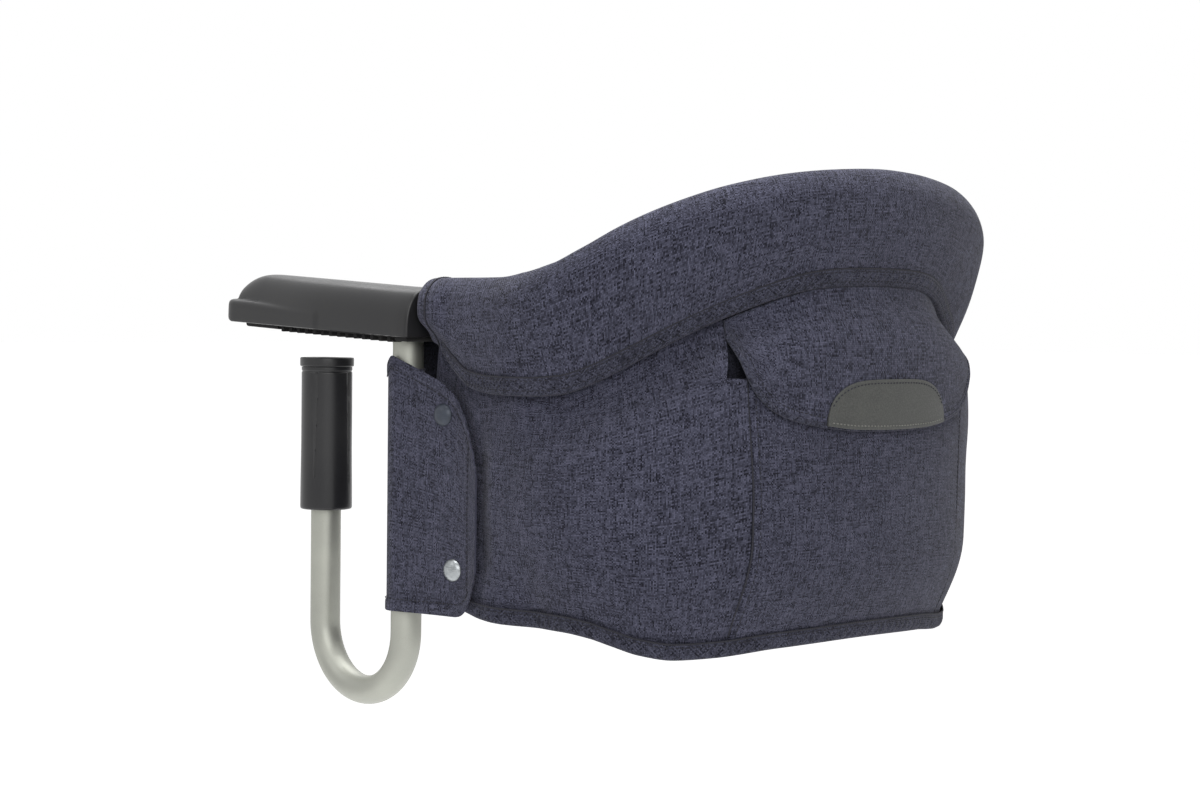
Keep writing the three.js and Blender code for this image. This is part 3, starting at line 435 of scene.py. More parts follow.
def sheet_rings(outer: Array, inner: Array) -> Array:
    """Closed rings of a sheet from its two faces, with rounded upper and lower edges.

    Args:
        outer: Outer face as stations, heights, 3.
        inner: Inner face, point for point.

    Returns:
        Rings whose mirrored points face each other.
    """
    def edge(last: int, before: int) -> tuple[Array, Array]:
        """The two points that round one edge, from its last row and the row before it."""
        thick = np.linalg.norm(outer[:, last] - inner[:, last], axis=1)[:, None]
        out = unit(outer[:, last] - outer[:, before]) * thick * 0.42
        middle = (outer[:, last] + inner[:, last]) / 2
        a = outer[:, last] * 0.55 + middle * 0.45 + out
        b = inner[:, last] * 0.55 + middle * 0.45 + out
        return a, b

    low_out, low_in = edge(0, 1)
    top_out, top_in = edge(-1, -2)
    parts = [low_out[:, None], outer, top_out[:, None], top_in[:, None], inner[:, ::-1],
             low_in[:, None]]
    return np.concatenate(parts, 1)


def net_area(net: Array) -> float:
    """Area of a net of quads in square metres."""
    d0 = net[1:, 1:] - net[:-1, :-1]
    d1 = net[1:, :-1] - net[:-1, 1:]
    return float(np.linalg.norm(np.cross(d0, d1), axis=-1).sum() / 2) * MM * MM


def net_flat(net: Array) -> Pair:
    """Width and length in metres of the cloth a net was cut from."""
    along = float(np.linalg.norm(np.diff(net, axis=0), axis=2).sum(0).max()) * MM
    across = float(np.linalg.norm(np.diff(net, axis=1), axis=2).sum(1).max()) * MM
    return along, across


def turned_rings(profile: Sequence[Pair], segments: int) -> Array:
    """Rings about Z through a profile of radius and height.

    Args:
        profile: Radius and height pairs.
        segments: Points round each ring.

    Returns:
        Points as profile steps, ring points, 3.
    """
    f = np.linspace(0, 2 * math.pi, segments, endpoint=False)
    r, z = np.array(profile, float).T[..., None]
    return spots(r * np.cos(f), r * np.sin(f), z)


def rounded_profile(profile: Sequence[Pair], radius: float, steps: int = 4) -> list[Pair]:
    """A profile with its inner corners rounded.

    Args:
        profile: Corner points.
        radius: Rounding, cut short where a side is too small.
        steps: Points per rounded corner.

    Returns:
        The finer profile.
    """
    p = np.array(profile, float)
    out = [tuple(p[0])]
    for i in range(1, len(p) - 1):
        d0, d1 = p[i - 1] - p[i], p[i + 1] - p[i]
        cut = min(radius, 0.48 * np.linalg.norm(d0), 0.48 * np.linalg.norm(d1))
        a, b = p[i] + unit(d0) * cut, p[i] + unit(d1) * cut
        for t in np.linspace(0, 1, steps + 1):
            q = a * (1 - t) ** 2 + 2 * p[i] * t * (1 - t) + b * t * t
            out.append((float(q[0]), float(q[1])))
    out.append(tuple(p[-1]))
    return out


def tube_rings(path: Array, radii: Array, across: Array, segments: int) -> Array:
    """Rings round a path.

    Args:
        path: Points of the centre line.
        radii: Radius across and radius in the bend's plane, per point.
        across: A vector that stays across the path.
        segments: Points round each ring.

    Returns:
        Points as path points, ring points, 3.
    """
    tangent = unit(np.gradient(path, axis=0))
    u = unit(across[None, :] - tangent * (tangent @ across)[:, None])
    v = np.cross(tangent, u)
    f = np.linspace(0, 2 * math.pi, segments, endpoint=False) + math.pi / segments
    c, s = np.cos(f)[None, :, None], np.sin(f)[None, :, None]
    return path[:, None] + u[:, None] * c * radii[:, :1, None] + v[:, None] * s * radii[:, 1:, None]


def sweep_rings(path: Array, normal: Array, section: Array) -> Array:
    """Rings of a section carried along a path that lies on a surface.

    Args:
        path: Points of the path.
        normal: Surface normals at the path.
        section: Section points as sideways and outward distances.

    Returns:
        Points as path points, section points, 3.
    """
    tangent = unit(np.gradient(path, axis=0))
    n = unit(normal - tangent * (tangent * normal).sum(-1, keepdims=True))
    side = np.cross(tangent, n)
    return path[:, None] + side[:, None] * section[None, :, :1] + n[:, None] * section[None, :, 1:]


def squared(f: Array, power: float) -> tuple[Array, Array]:
    """Cosine and sine of angles, raised to a power below 1 for a squarer round."""
    c, s = np.cos(f), np.sin(f)
    return np.sign(c) * np.abs(c) ** power, np.sign(s) * np.abs(s) ** power


def oval(half_width: float, half_height: float, points: int = 12) -> Array:
    """A flattened round section with an even number of points."""
    c, s = squared((np.arange(points) + 0.5) * 2 * math.pi / points, 0.7)
    return np.stack([half_width * c, half_height * s], -1)


def folded_tape(plan: SeatPlan, w: Array, inward: Array, foot: Array,
                marks: Sequence[tuple[float, float, float]], rope: tuple[float, float, float]) -> Array:
    """A binding tape folded round a sewn edge, with a twist like a rope's on its outer face.

    Args:
        plan: The outline that the edge follows.
        w: Places along the edge.
        inward: How far the edge lies inside the outline.
        foot: Heights of the edge.
        marks: Offset, height and share of the twist for each point of the section.
        rope: The twist's mean height, its swing and its length along the edge.

    Returns:
        Points as stations, section points, 3.
    """
    mean, swing, length = rope
    rows = []
    for offset, height, share in marks:
        twist = mean + swing * np.sin(2 * math.pi * (w / length + height / 8.0))
        rows.append(plan.point(w, offset + share * twist - inward, foot + height))
    return np.stack(rows, 1)


def converted(obj: Piece, name: str) -> Piece:
    """Turns an object with modifiers into a plain mesh object of that name.

    Args:
        obj: The object with its modifiers; it is removed.
        name: Name of the result.

    Returns:
        The plain object.
    """
    bpy.context.view_layer.update()
    graph = bpy.context.evaluated_depsgraph_get()
    mesh = bpy.data.meshes.new_from_object(obj.evaluated_get(graph))
    bpy.data.objects.remove(obj)
    mesh.name = name
    return linked(name, mesh)


def refined(obj: Piece) -> Piece:
    """The object with one level of subdivision applied."""
    name = obj.name
    obj.name = name + "_coarse"
    finer = obj.modifiers.new("finer", "SUBSURF")
    finer.levels = 1
    finer.render_levels = 1
    return converted(obj, name)


class NodeBoard:
    """Places nodes on a node tree and joins them."""

    def __init__(self, tree: bpy.types.NodeTree) -> None:
        """Keeps the tree."""
        self.tree = tree

    def put(self, target: Socket, value: object) -> None:
        """Links a socket to the target, or writes a plain value into it."""
        if isinstance(value, Socket):
            self.tree.links.new(value, target)
        else:
            target.default_value = value

    def add(self, kind: str, inputs: dict[int | str, object] | None = None,
            **settings: object) -> bpy.types.Node:
        """Adds a node.

        Args:
            kind: Kind of node.
            inputs: What goes into its sockets, as plain values or as sockets to link.
            settings: Values of its properties, which are set first.

        Returns:
            The node.
        """
        made = self.tree.nodes.new(kind)
        for key, value in settings.items():
            setattr(made, key, value)
        for key, value in (inputs or {}).items():
            self.put(made.inputs[key], value)
        return made


class NodeSketch(NodeBoard):
    """Draws the shader nodes of one material or world."""

    def __init__(self, owner: bpy.types.Material | bpy.types.World) -> None:
        """Starts with the own nodes of a new material or world."""
        owner.use_nodes = True
        super().__init__(owner.node_tree)
        self.owner = owner
        self.shader = self.tree.nodes.get("Principled BSDF")

    def math(self, operation: str, a: object, b: object = 0.0) -> Socket:
        """The result of a math node."""
        return self.add("ShaderNodeMath", {0: a, 1: b}, operation=operation).outputs[0]

    def times(self, a: object, b: object) -> Socket:
        """The product of two values."""
        return self.math("MULTIPLY", a, b)

    def sum_of(self, a: object, share_a: float, b: object, share_b: float) -> Socket:
        """Two values added by their shares."""
        return self.math("ADD", self.times(a, share_a), self.times(b, share_b))

    def mix(self, share: object, a: object, b: object, blend: str = "MIX") -> Socket:
        """The colour between a and b."""
        sockets = {0: share, 6: a, 7: b}
        return self.add("ShaderNodeMix", sockets, data_type="RGBA", blend_type=blend).outputs[2]

    def blend_value(self, share: object, a: object, b: object) -> Socket:
        """The number between a and b."""
        return self.add("ShaderNodeMix", {0: share, 2: a, 3: b}, data_type="FLOAT").outputs[0]

    def vector(self, x: object, y: object, z: object = 0.0) -> Socket:
        """A vector of three values."""
        return self.add("ShaderNodeCombineXYZ", {0: x, 1: y, 2: z}).outputs[0]

    def split(self, vector: Socket) -> list[Socket]:
        """The three values of a vector."""
        return list(self.add("ShaderNodeSeparateXYZ", {0: vector}).outputs)

    def noise(self, place: object, scale: float, detail: float = 2.0) -> Socket:
        """Soft noise from 0 to 1 at a place."""
        sockets = {"Vector": place, "Scale": scale, "Detail": detail}
        return self.add("ShaderNodeTexNoise", sockets).outputs[0]

    def cells(self, place: object, scale: float) -> Socket:
        """Distance to the middle of random cells, for grain."""
        return self.add("ShaderNodeTexVoronoi", {"Vector": place, "Scale": scale}).outputs["Distance"]

    def speck(self, place: object) -> Socket:
        """A random value from 0 to 1 for each whole-number place."""
        made = self.add("ShaderNodeTexWhiteNoise", {"Vector": place}, noise_dimensions="3D")
        return made.outputs["Value"]

    def ranged(self, value: object, low: float, high: float, out_low: float = 0.0,
               out_high: float = 1.0) -> Socket:
        """A value carried from one range to another, kept within it."""
        sockets = dict(enumerate((value, low, high, out_low, out_high)))
        return self.add("ShaderNodeMapRange", sockets).outputs[0]

    def places(self) -> Socket:
        """Object coordinates, in metres."""
        return self.add("ShaderNodeTexCoord").outputs["Object"]

    def cloth_places(self) -> list[Socket]:
        """The cloth's own two directions from the UV map, in metres."""
        return self.split(self.add("ShaderNodeUVMap", uv_map="UVMap").outputs[0])[:2]

    def toned(self, colour: object, value: object) -> Socket:
        """A colour made lighter or darker by a value round 1."""
        return self.mix(1.0, colour, self.vector(value, value, value), "MULTIPLY")

    def colour(self, value: object, shade: Rgb, tone: Rgb, low: float = 0.35, high: float = 0.65) -> None:
        """Colours the shader from shade to tone as a value goes from low to high."""
        share = self.ranged(value, low, high)
        self.put(self.shader.inputs["Base Color"], self.mix(share, linear(shade), linear(tone)))

    def rough(self, noise: object, low: float, high: float) -> None:
        """Gives the shader a roughness from low to high that follows a noise."""
        self.put(self.shader.inputs["Roughness"], self.ranged(noise, 0.3, 0.7, low, high))

    def bump(self, height: object, distance: float, strength: float) -> None:
        """Gives the shader relief of that depth in metres."""
        sockets = {"Strength": strength, "Distance": distance, "Height": height}
        self.put(self.shader.inputs["Normal"], self.add("ShaderNodeBump", sockets).outputs[0])

    def settle(self, **constants: float) -> None:
        """Sets constants on the shader's own sockets, with _ for a space in a name."""
        for key, value in constants.items():
            self.shader.inputs[key.replace("_", " ")].default_value = value


@dataclass(frozen=True)
class Finish:
    """A material that is made once and then shared."""

    name: str
    slot: str

    def paint(self, s: NodeSketch) -> None:
        """Draws the finish's nodes; each finish has its own."""
        raise NotImplementedError

    @property
    def material(self) -> bpy.types.Material:
        """The Blender material, made at first use."""
        found = bpy.data.materials.get(self.name)
        if found is None:
            found = bpy.data.materials.new(self.name)
            self.paint(NodeSketch(found))
        return found


@dataclass(frozen=True)
class WovenFabric(Finish):
    """Plain weave of mixed light and dark yarns."""

    dark: Rgb = (26, 26, 38)
    light: Rgb = (108, 109, 131)
    pitch: float = 0.82
    bias: float = 0.0

    def paint(self, s: NodeSketch) -> None:
        """Yarns with streaks along them, crossing over and under, with painted shade in the dips between
        yarns.
        """
        across, along = s.cloth_places()
        c, t = (turn(self.bias) / (self.pitch * MM) for turn in (math.cos, math.sin))
        u = s.sum_of(across, c, along, t)
        v = s.math("SUBTRACT", s.times(along, c), s.times(across, t))
        warp, weft = s.math("FLOOR", u), s.math("FLOOR", v)
        knot = s.times(s.speck(s.vector(warp, weft, 5.0)), 0.31)
        tones = []
        for yarn, run, lane in ((warp, v, 3.0), (weft, u, 71.0)):
            place = s.vector(s.times(yarn, 7.31), s.times(run, 0.075), lane)
            streak = s.math("ADD", s.times(s.noise(place, 1.0, 1.0), 0.92), knot)
            tones.append(s.mix(s.ranged(streak, 0.39, 0.86), linear(self.dark), linear(self.light)))
        half = s.times(s.math("ADD", warp, weft), 0.5)
        cross = s.times(s.math("FRACT", half), 2.0)
        rounds = [s.math("ABSOLUTE", s.math("SINE", s.times(w, math.pi))) for w in (u, v)]
        height = s.blend_value(cross, *rounds)
        # Painted shade: the colour is darker where the yarns dip and lighter on their crowns, following the
        # yarns' height.
        colour = s.toned(s.mix(cross, *tones), s.ranged(height, 0.0, 1.0, 0.62, 1.08))
        cloud = s.ranged(s.noise(s.places(), 16.0, 3.0), 0.3, 0.7, 0.93, 1.06)
        s.put(s.shader.inputs["Base Color"], s.toned(colour, cloud))
        s.put(s.shader.inputs["Roughness"], s.ranged(height, 0.0, 1.0, 0.97, 0.86))
        s.bump(height, 0.00022, 0.7)
        s.settle(Sheen_Weight=0.14, Sheen_Roughness=0.45, Specular_IOR_Level=0.2)


@dataclass(frozen=True)
class TwillTape(Finish):
    """Narrow tape with slanting ribs, for bindings and straps."""

    dark: Rgb = (30, 30, 42)
    light: Rgb = (66, 66, 80)
    rib: float = 1.5
    slant: float = 0.6
    thread: float = 0.55

    def paint(self, s: NodeSketch) -> None:
        """Slanting ribs whose crests are coloured a little lighter, with a fine speck."""
        u, v = s.cloth_places()
        turn = s.math("ADD", u, s.times(v, self.slant))
        wave, fine = (s.math("SINE", s.times(run, 2 * math.pi / (size * MM)))
                      for run, size in ((turn, self.rib), (v, self.thread)))
        height = s.sum_of(wave, 0.5, fine, 0.2)
        speck = s.noise(s.vector(s.times(u, 900), s.times(v, 2200)), 1.0, 2.0)
        # The colour is lighter where the ribs stand high and varies with a fine speck.
        crests_lighter = s.math("ADD", s.times(height, 0.35), speck)
        s.colour(crests_lighter, self.dark, self.light, 0.25, 0.95)
        s.rough(speck, 0.92, 0.8)
        s.bump(height, 0.00018, 0.8)
        s.settle(Sheen_Weight=0.18, Specular_IOR_Level=0.25)


@dataclass(frozen=True)
class PaintedTube(Finish):
    """Satin silver-grey powder paint on bent tube."""

    tone: Rgb = (174, 175, 166)
    shade: Rgb = (158, 159, 151)

    def paint(self, s: NodeSketch) -> None:
        """Faint clouds, metal flakes and an orange-peel relief."""
        place = s.places()
        cloud = s.noise(place, 35.0, 3.0)
        flake = s.noise(place, 4200.0, 1.0)
        s.colour(s.sum_of(cloud, 0.6, flake, 0.4), self.shade, self.tone)
        s.rough(cloud, 0.44, 0.54)
        s.bump(s.noise(place, 900.0, 2.0), 0.00003, 0.5)
        s.settle(Metallic=0.75, Coat_Weight=0.04, Coat_Roughness=0.3)


@dataclass(frozen=True)
class MouldedPlastic(Finish):
    """Dark moulded plastic with a fine eroded grain."""

    tone: Rgb = (36, 36, 37)
    shade: Rgb = (29, 29, 31)
    grain: float = 2300.0
    gloss: float = 0.34

    def paint(self, s: NodeSketch) -> None:
        """Grain, faint flow clouds and handled spots that are a little glossier."""
        place = s.places()
        cloud = s.noise(place, 28.0, 3.0)
        speck = s.noise(place, self.grain, 1.5)
        s.colour(s.sum_of(cloud, 0.65, speck, 0.35), self.shade, self.tone)
        s.rough(cloud, self.gloss - 0.05, self.gloss + 0.06)
        s.bump(speck, 0.00005, 0.6)
        s.settle(Specular_IOR_Level=0.38)


@dataclass(frozen=True)
class PadRubber(Finish):
    """Black soft rubber with dust in its pores."""

    tone: Rgb = (30, 30, 31)
    dust: Rgb = (46, 45, 44)

    def paint(self, s: NodeSketch) -> None:
        """Pores and a dusty bloom."""
        place = s.places()
        bloom = s.noise(place, 60.0, 4.0)
        s.colour(bloom, self.tone, self.dust, 0.4, 0.75)
        s.rough(bloom, 0.78, 0.92)
        s.bump(s.cells(place, 1400.0), 0.00006, 0.6)
        s.settle(Specular_IOR_Level=0.3)


@dataclass(frozen=True)
class BrushedMetal(Finish):
    """Metal with fine brushing, bright for steel or dark for the snaps."""

    tone: Rgb = (190, 190, 190)
    shade: Rgb = (150, 150, 152)
    metal: float = 0.95
    roughness: float = 0.32

    def paint(self, s: NodeSketch) -> None:
        """Short brush marks and faint clouds."""
        place = s.places()
        lines = s.vector(*(s.times(axis, scale) for axis, scale in zip(s.split(place), (300, 300, 3600))))
        brush = s.noise(lines, 1.0, 3.0)
        s.colour(s.sum_of(brush, 0.5, s.noise(place, 220.0, 3.0), 0.5), self.shade, self.tone)
        s.rough(brush, self.roughness - 0.07, self.roughness + 0.1)
        s.bump(brush, 0.00002, 0.4)
        s.settle(Metallic=self.metal)


@dataclass(frozen=True)
class GrainedLeather(Finish):
    """Dark grained leather for the bare patch."""

    tone: Rgb = (87, 88, 85)
    shade: Rgb = (63, 64, 62)

    def paint(self, s: NodeSketch) -> None:
        """Pebble grain, coloured darker where it lies low and lighter where it stands high, with soft
        clouds.
        """
        place = s.places()
        pebble = s.cells(place, 1150.0)
        cloud = s.noise(place, 90.0, 4.0)
        s.colour(s.sum_of(pebble, 0.55, cloud, 0.6), self.shade, self.tone, 0.3, 0.8)
        s.rough(cloud, 0.46, 0.62)
        s.bump(pebble, 0.00012, 0.7)
        s.settle(Specular_IOR_Level=0.45)


@dataclass(frozen=True)
class PressedBoard(Finish):
    """Dark pressed fibre board."""

    tone: Rgb = (58, 54, 50)
    shade: Rgb = (36, 34, 32)

    def paint(self, s: NodeSketch) -> None:
        """Matted fibres."""
        fibre = s.noise(s.places(), 420.0, 6.0)
        s.colour(fibre, self.shade, self.tone)
        s.rough(fibre, 0.75, 0.9)
        s.bump(fibre, 0.0001, 0.6)


@dataclass(frozen=True)
class SewingThread(Finish):
    """Twisted sewing thread."""

    tone: Rgb = (32, 32, 44)
    shade: Rgb = (18, 18, 28)

    def paint(self, s: NodeSketch) -> None:
        """Light and dark plies."""
        ply = s.noise(s.places(), 2600.0, 2.0)
        s.colour(ply, self.shade, self.tone)
        s.rough(ply, 0.6, 0.8)
        s.bump(ply, 0.00008, 0.6)


FABRIC = WovenFabric("seat_fabric_weave", "seat_fabric")
# Lining cloth darker than the seat's fabric: its darkness is painted shade for the gap behind the legs and
# the pocket's mouth.
PAINTED_SHADE_LINING = WovenFabric("lining_weave_painted_shade", "seat_fabric", (12, 12, 20), (50, 51, 64))
TAPE = WovenFabric("binding_tape_bias", "binding_tape", (21, 21, 32), (98, 99, 118), bias=math.pi / 4)
WEBBING = TwillTape("belt_webbing_rib", "belt_webbing", (22, 22, 26), (48, 48, 54), 2.4, 0.0)
HOOK_TAPE = TwillTape("closure_tape_pile", "belt_webbing", (18, 18, 21), (40, 40, 45), 0.9, 1.0)
TUBE = PaintedTube("tube_paint_satin", "tube_paint")
PLASTIC = MouldedPlastic("arm_plastic_grain", "moulded_plastic")
GRIP_PLASTIC = MouldedPlastic("grip_plastic_grain", "moulded_plastic", (48, 48, 49), (38, 38, 40),
                              1900.0)
RUBBER = PadRubber("pad_rubber_pores", "pad_rubber")
STEEL = BrushedMetal("bright_steel_brushed", "bright_steel")
DARK_SNAP = BrushedMetal("snap_metal_dark", "snap_metal", (66, 72, 84), (48, 54, 64), 0.3, 0.42)
PALE_SNAP = BrushedMetal("snap_metal_pale", "snap_metal", (172, 176, 178), (128, 132, 135), 0.85, 0.3)
LEATHER = GrainedLeather("patch_leather_grain", "patch_leather")
BOARD = PressedBoard("seat_board_fibre", "seat_board")
DARK_THREAD = SewingThread("dark_thread", "binding_tape")
PALE_THREAD = SewingThread("pale_thread", "patch_leather", (150, 150, 144), (110, 110, 106))


class Carry:
    """Sets pieces on the frame's bodies or bakes them where they stand, and hides the CAD nodes they stand
    for.
    """

    BUCKET = ((0.0, 0.0, 0.002), (0.0, 0.0, -0.165))
    FLAP = ((0.0, 0.2060, 0.0335), (0.0, 0.2260, 0.0128))

    @staticmethod
    def body(obj: Piece, finish: Finish, body: str, *nodes: str) -> Piece:
        """Rides on one body and stands for CAD nodes."""
        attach(obj, body)
        return Carry.named(obj, finish, nodes)

    @staticmethod
    def bucket(obj: Piece, finish: Finish, *nodes: str) -> Piece:
        """Bakes the piece's placement into its mesh and stands for CAD nodes, for the fabric bucket's
        pieces.
        """
        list(Carry.BUCKET)
        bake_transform(obj)
        return Carry.named(obj, finish, nodes)

    @staticmethod
    def flap(obj: Piece, finish: Finish, *nodes: str) -> Piece:
        """Bakes the piece's placement into its mesh, for the pocket flap's pieces."""
        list(Carry.FLAP)
        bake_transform(obj)
        return Carry.named(obj, finish, nodes)

    @staticmethod
    def stud(obj: Piece, finish: Finish, z: float, *nodes: str) -> Piece:
        """Bakes the piece's placement into its mesh, for a stud on the bucket's fabric.

        Args:
            obj: The piece.
            finish: Its finish.
            z: A height, in millimetres; not used.
            nodes: CAD nodes it stands for.

        Returns:
            The piece.
        """
        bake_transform(obj)
        return Carry.named(obj, finish, nodes)

    @staticmethod
    def named(obj: Piece, finish: Finish, nodes: Iterable[str]) -> Piece:
        """Hides the CAD nodes the piece stands for, and logs the piece."""
        chosen = list(nodes)
        if chosen:
            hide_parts(*chosen)
        log.info("piece %s with %d faces", obj.name, len(obj.data.polygons))
        return obj

    @staticmethod
    def cloth(obj: Piece, net: Array, held: str, rests_on: str) -> None:
        """Works out the flat size and area of a piece's outer face, without keeping them."""
        net_flat(net)
        net_area(net)


class RepeatTree(NodeBoard):
    """A Geometry Nodes tree with named sizes, built once and used as a modifier."""

    def __init__(self, name: str, sizes: dict[str, str]) -> None:
        """Starts the tree.

        Args:
            name: The tree's name.
            sizes: Kind of socket for each named size.
        """
        super().__init__(bpy.data.node_groups.new(name, "GeometryNodeTree"))
        face = self.tree.interface
        kinds = {"Geometry": "NodeSocketGeometry", **sizes, "Finish": "NodeSocketMaterial"}
        self.sockets = {key: face.new_socket(key, in_out="INPUT", socket_type=kind).identifier
                        for key, kind in kinds.items()}
        face.new_socket("Geometry", in_out="OUTPUT", socket_type="NodeSocketGeometry")
        self.given, self.done = self.add("NodeGroupInput"), self.add("NodeGroupOutput")
        self.build()

    def build(self) -> None:
        """Adds and joins the nodes; each tree has its own."""
        raise NotImplementedError

    def join(self, *links: tuple[bpy.types.Node, int | str, bpy.types.Node, int | str]) -> None:
        """Joins an output of one node to an input of another, link by link."""
        for source, out, target, into in links:
            self.put(target.inputs[into], source.outputs[out])

    def grown(self, obj: Piece, name: str, sizes: dict[str, object]) -> Piece:
        """Runs the tree on an object.

        Args:
            obj: The object that the tree starts from; it is removed.
            name: Name of the result.
            sizes: A value for each of the tree's sizes.

        Returns:
            One plain mesh object.
        """
        modifier = obj.modifiers.new(self.tree.name, "NODES")
        modifier.node_group = self.tree
        for key, value in sizes.items():
            modifier[self.sockets[key]] = value
        return converted(obj, name)


class StitchTree(RepeatTree):
    """Lays single stitches along sewn lines."""

    def __init__(self) -> None:
        """Builds the tree once."""
        sizes = ("Pitch", "Stitch Length", "Thread Radius")
        super().__init__("stitch_line", dict.fromkeys(sizes, "NodeSocketFloat"))

    def build(self) -> None:
        """A stretched ball on points along each line."""
        given = self.given
        curve = self.add("GeometryNodeMeshToCurve")
        points = self.add("GeometryNodeCurveToPoints", mode="LENGTH")
        ball = self.add("GeometryNodeMeshUVSphere", {"Segments": 6, "Rings": 4, "Radius": 1.0})
        shape = self.add("ShaderNodeCombineXYZ")
        half = self.add("ShaderNodeMath", {1: 0.5}, operation="MULTIPLY")
        stretch = self.add("GeometryNodeTransform")
        place = self.add("GeometryNodeInstanceOnPoints")
        real = self.add("GeometryNodeRealizeInstances")
        soft = self.add("GeometryNodeSetShadeSmooth")
        paint = self.add("GeometryNodeSetMaterial")
        self.join(
            (given, "Geometry", curve, 0), (curve, 0, points, "Curve"),
            (given, "Pitch", points, "Length"), (given, "Stitch Length", half, 0),
            (given, "Thread Radius", shape, 0), (given, "Thread Radius", shape, 1),
            (half, 0, shape, 2), (ball, "Mesh", stretch, "Geometry"), (shape, 0, stretch, "Scale"),
            (points, "Points", place, "Points"), (stretch, 0, place, "Instance"),
            (points, "Rotation", place, "Rotation"), (place, 0, real, 0), (real, 0, soft, 0),
            (soft, 0, paint, "Geometry"), (given, "Finish", paint, "Material"),
            (paint, 0, self.done, 0))

    def sew(self, name: str, lines: Sequence[Array], finish: Finish, thread: Thread) -> Piece:
        """Sews stitches along lines.

        Args:
            name: Name of the row of stitches.
            lines: Lines as points in millimetres.
            finish: The thread's finish.
            thread: The thread's sizes.

        Returns:
            One plain mesh with all the stitches.
        """
        points, edges = [], []
        for line in lines:
            start = len(points)
            points.extend((np.asarray(line) * MM).tolist())
            edges.extend([i, i + 1] for i in range(start, len(points) - 1))
        mesh = bpy.data.meshes.new(name + "_line")
        mesh.from_pydata(points, edges, [])
        pitch, length, radius = (size * MM for size in thread.value)
        sizes = {"Pitch": pitch, "Stitch Length": length, "Thread Radius": radius,
                 "Finish": finish.material}
        return self.grown(linked(name + "_line", mesh), name, sizes)


class RibTree(RepeatTree):
    """Sets a row of rounded cross ribs under a pad."""

    def __init__(self) -> None:
        """Builds the tree once."""
        vectors, floats = ("First", "Step", "Tilt"), ("Half Width", "Rib Width", "Rib Height",
                                                      "Rounding", "Narrowing")
        super().__init__("rib_row", {"Count": "NodeSocketInt",
                                     **dict.fromkeys(vectors, "NodeSocketVector"),
                                     **dict.fromkeys(floats, "NodeSocketFloat")})

    def build(self) -> None:
        """A rounded bar on each point of a row, each a little narrower than the one before."""
        given = self.given
        row = self.add("GeometryNodeMeshLine", mode="OFFSET")
        line = self.add("GeometryNodeCurvePrimitiveLine")
        left, right = self.add("ShaderNodeCombineXYZ"), self.add("ShaderNodeCombineXYZ")
        minus = self.add("ShaderNodeMath", {1: -1.0}, operation="MULTIPLY")
        quad = self.add("GeometryNodeCurvePrimitiveQuadrilateral")
        fillet = self.add("GeometryNodeFilletCurve")
        if "Mode" in fillet.inputs:
            fillet.inputs["Mode"].default_value = "Poly"
        else:
            fillet.mode = "POLY"
        fillet.inputs["Count"].default_value = 3
        sweep = self.add("GeometryNodeCurveToMesh", {"Fill Caps": True})
        index = self.add("GeometryNodeInputIndex")
        shrink = self.add("ShaderNodeMath", operation="MULTIPLY")
        share = self.add("ShaderNodeMath", {0: 1.0}, operation="SUBTRACT")
        scale = self.add("ShaderNodeCombineXYZ", {1: 1.0, 2: 1.0})
        place = self.add("GeometryNodeInstanceOnPoints")
        both = self.add("GeometryNodeJoinGeometry")
        real = self.add("GeometryNodeRealizeInstances")
        paint = self.add("GeometryNodeSetMaterial")
        self.join(
            (given, "Count", row, "Count"), (given, "First", row, "Start Location"),
            (given, "Step", row, "Offset"), (given, "Half Width", right, 0),
            (given, "Half Width", minus, 0), (minus, 0, left, 0), (left, 0, line, "Start"),
            (right, 0, line, "End"), (given, "Rib Width", quad, "Height"),
            (given, "Rib Height", quad, "Width"), (quad, 0, fillet, "Curve"),
            (given, "Rounding", fillet, "Radius"), (line, 0, sweep, "Curve"),
            (fillet, 0, sweep, "Profile Curve"), (row, 0, place, "Points"),
            (sweep, 0, place, "Instance"), (given, "Tilt", place, "Rotation"),
            (index, 0, shrink, 0), (given, "Narrowing", shrink, 1), (shrink, 0, share, 1),
            (share, 0, scale, 0), (scale, 0, place, "Scale"), (given, "Geometry", both, 0),
            (place, 0, both, 0), (both, 0, real, 0), (real, 0, paint, "Geometry"),
            (given, "Finish", paint, "Material"), (paint, 0, self.done, 0))


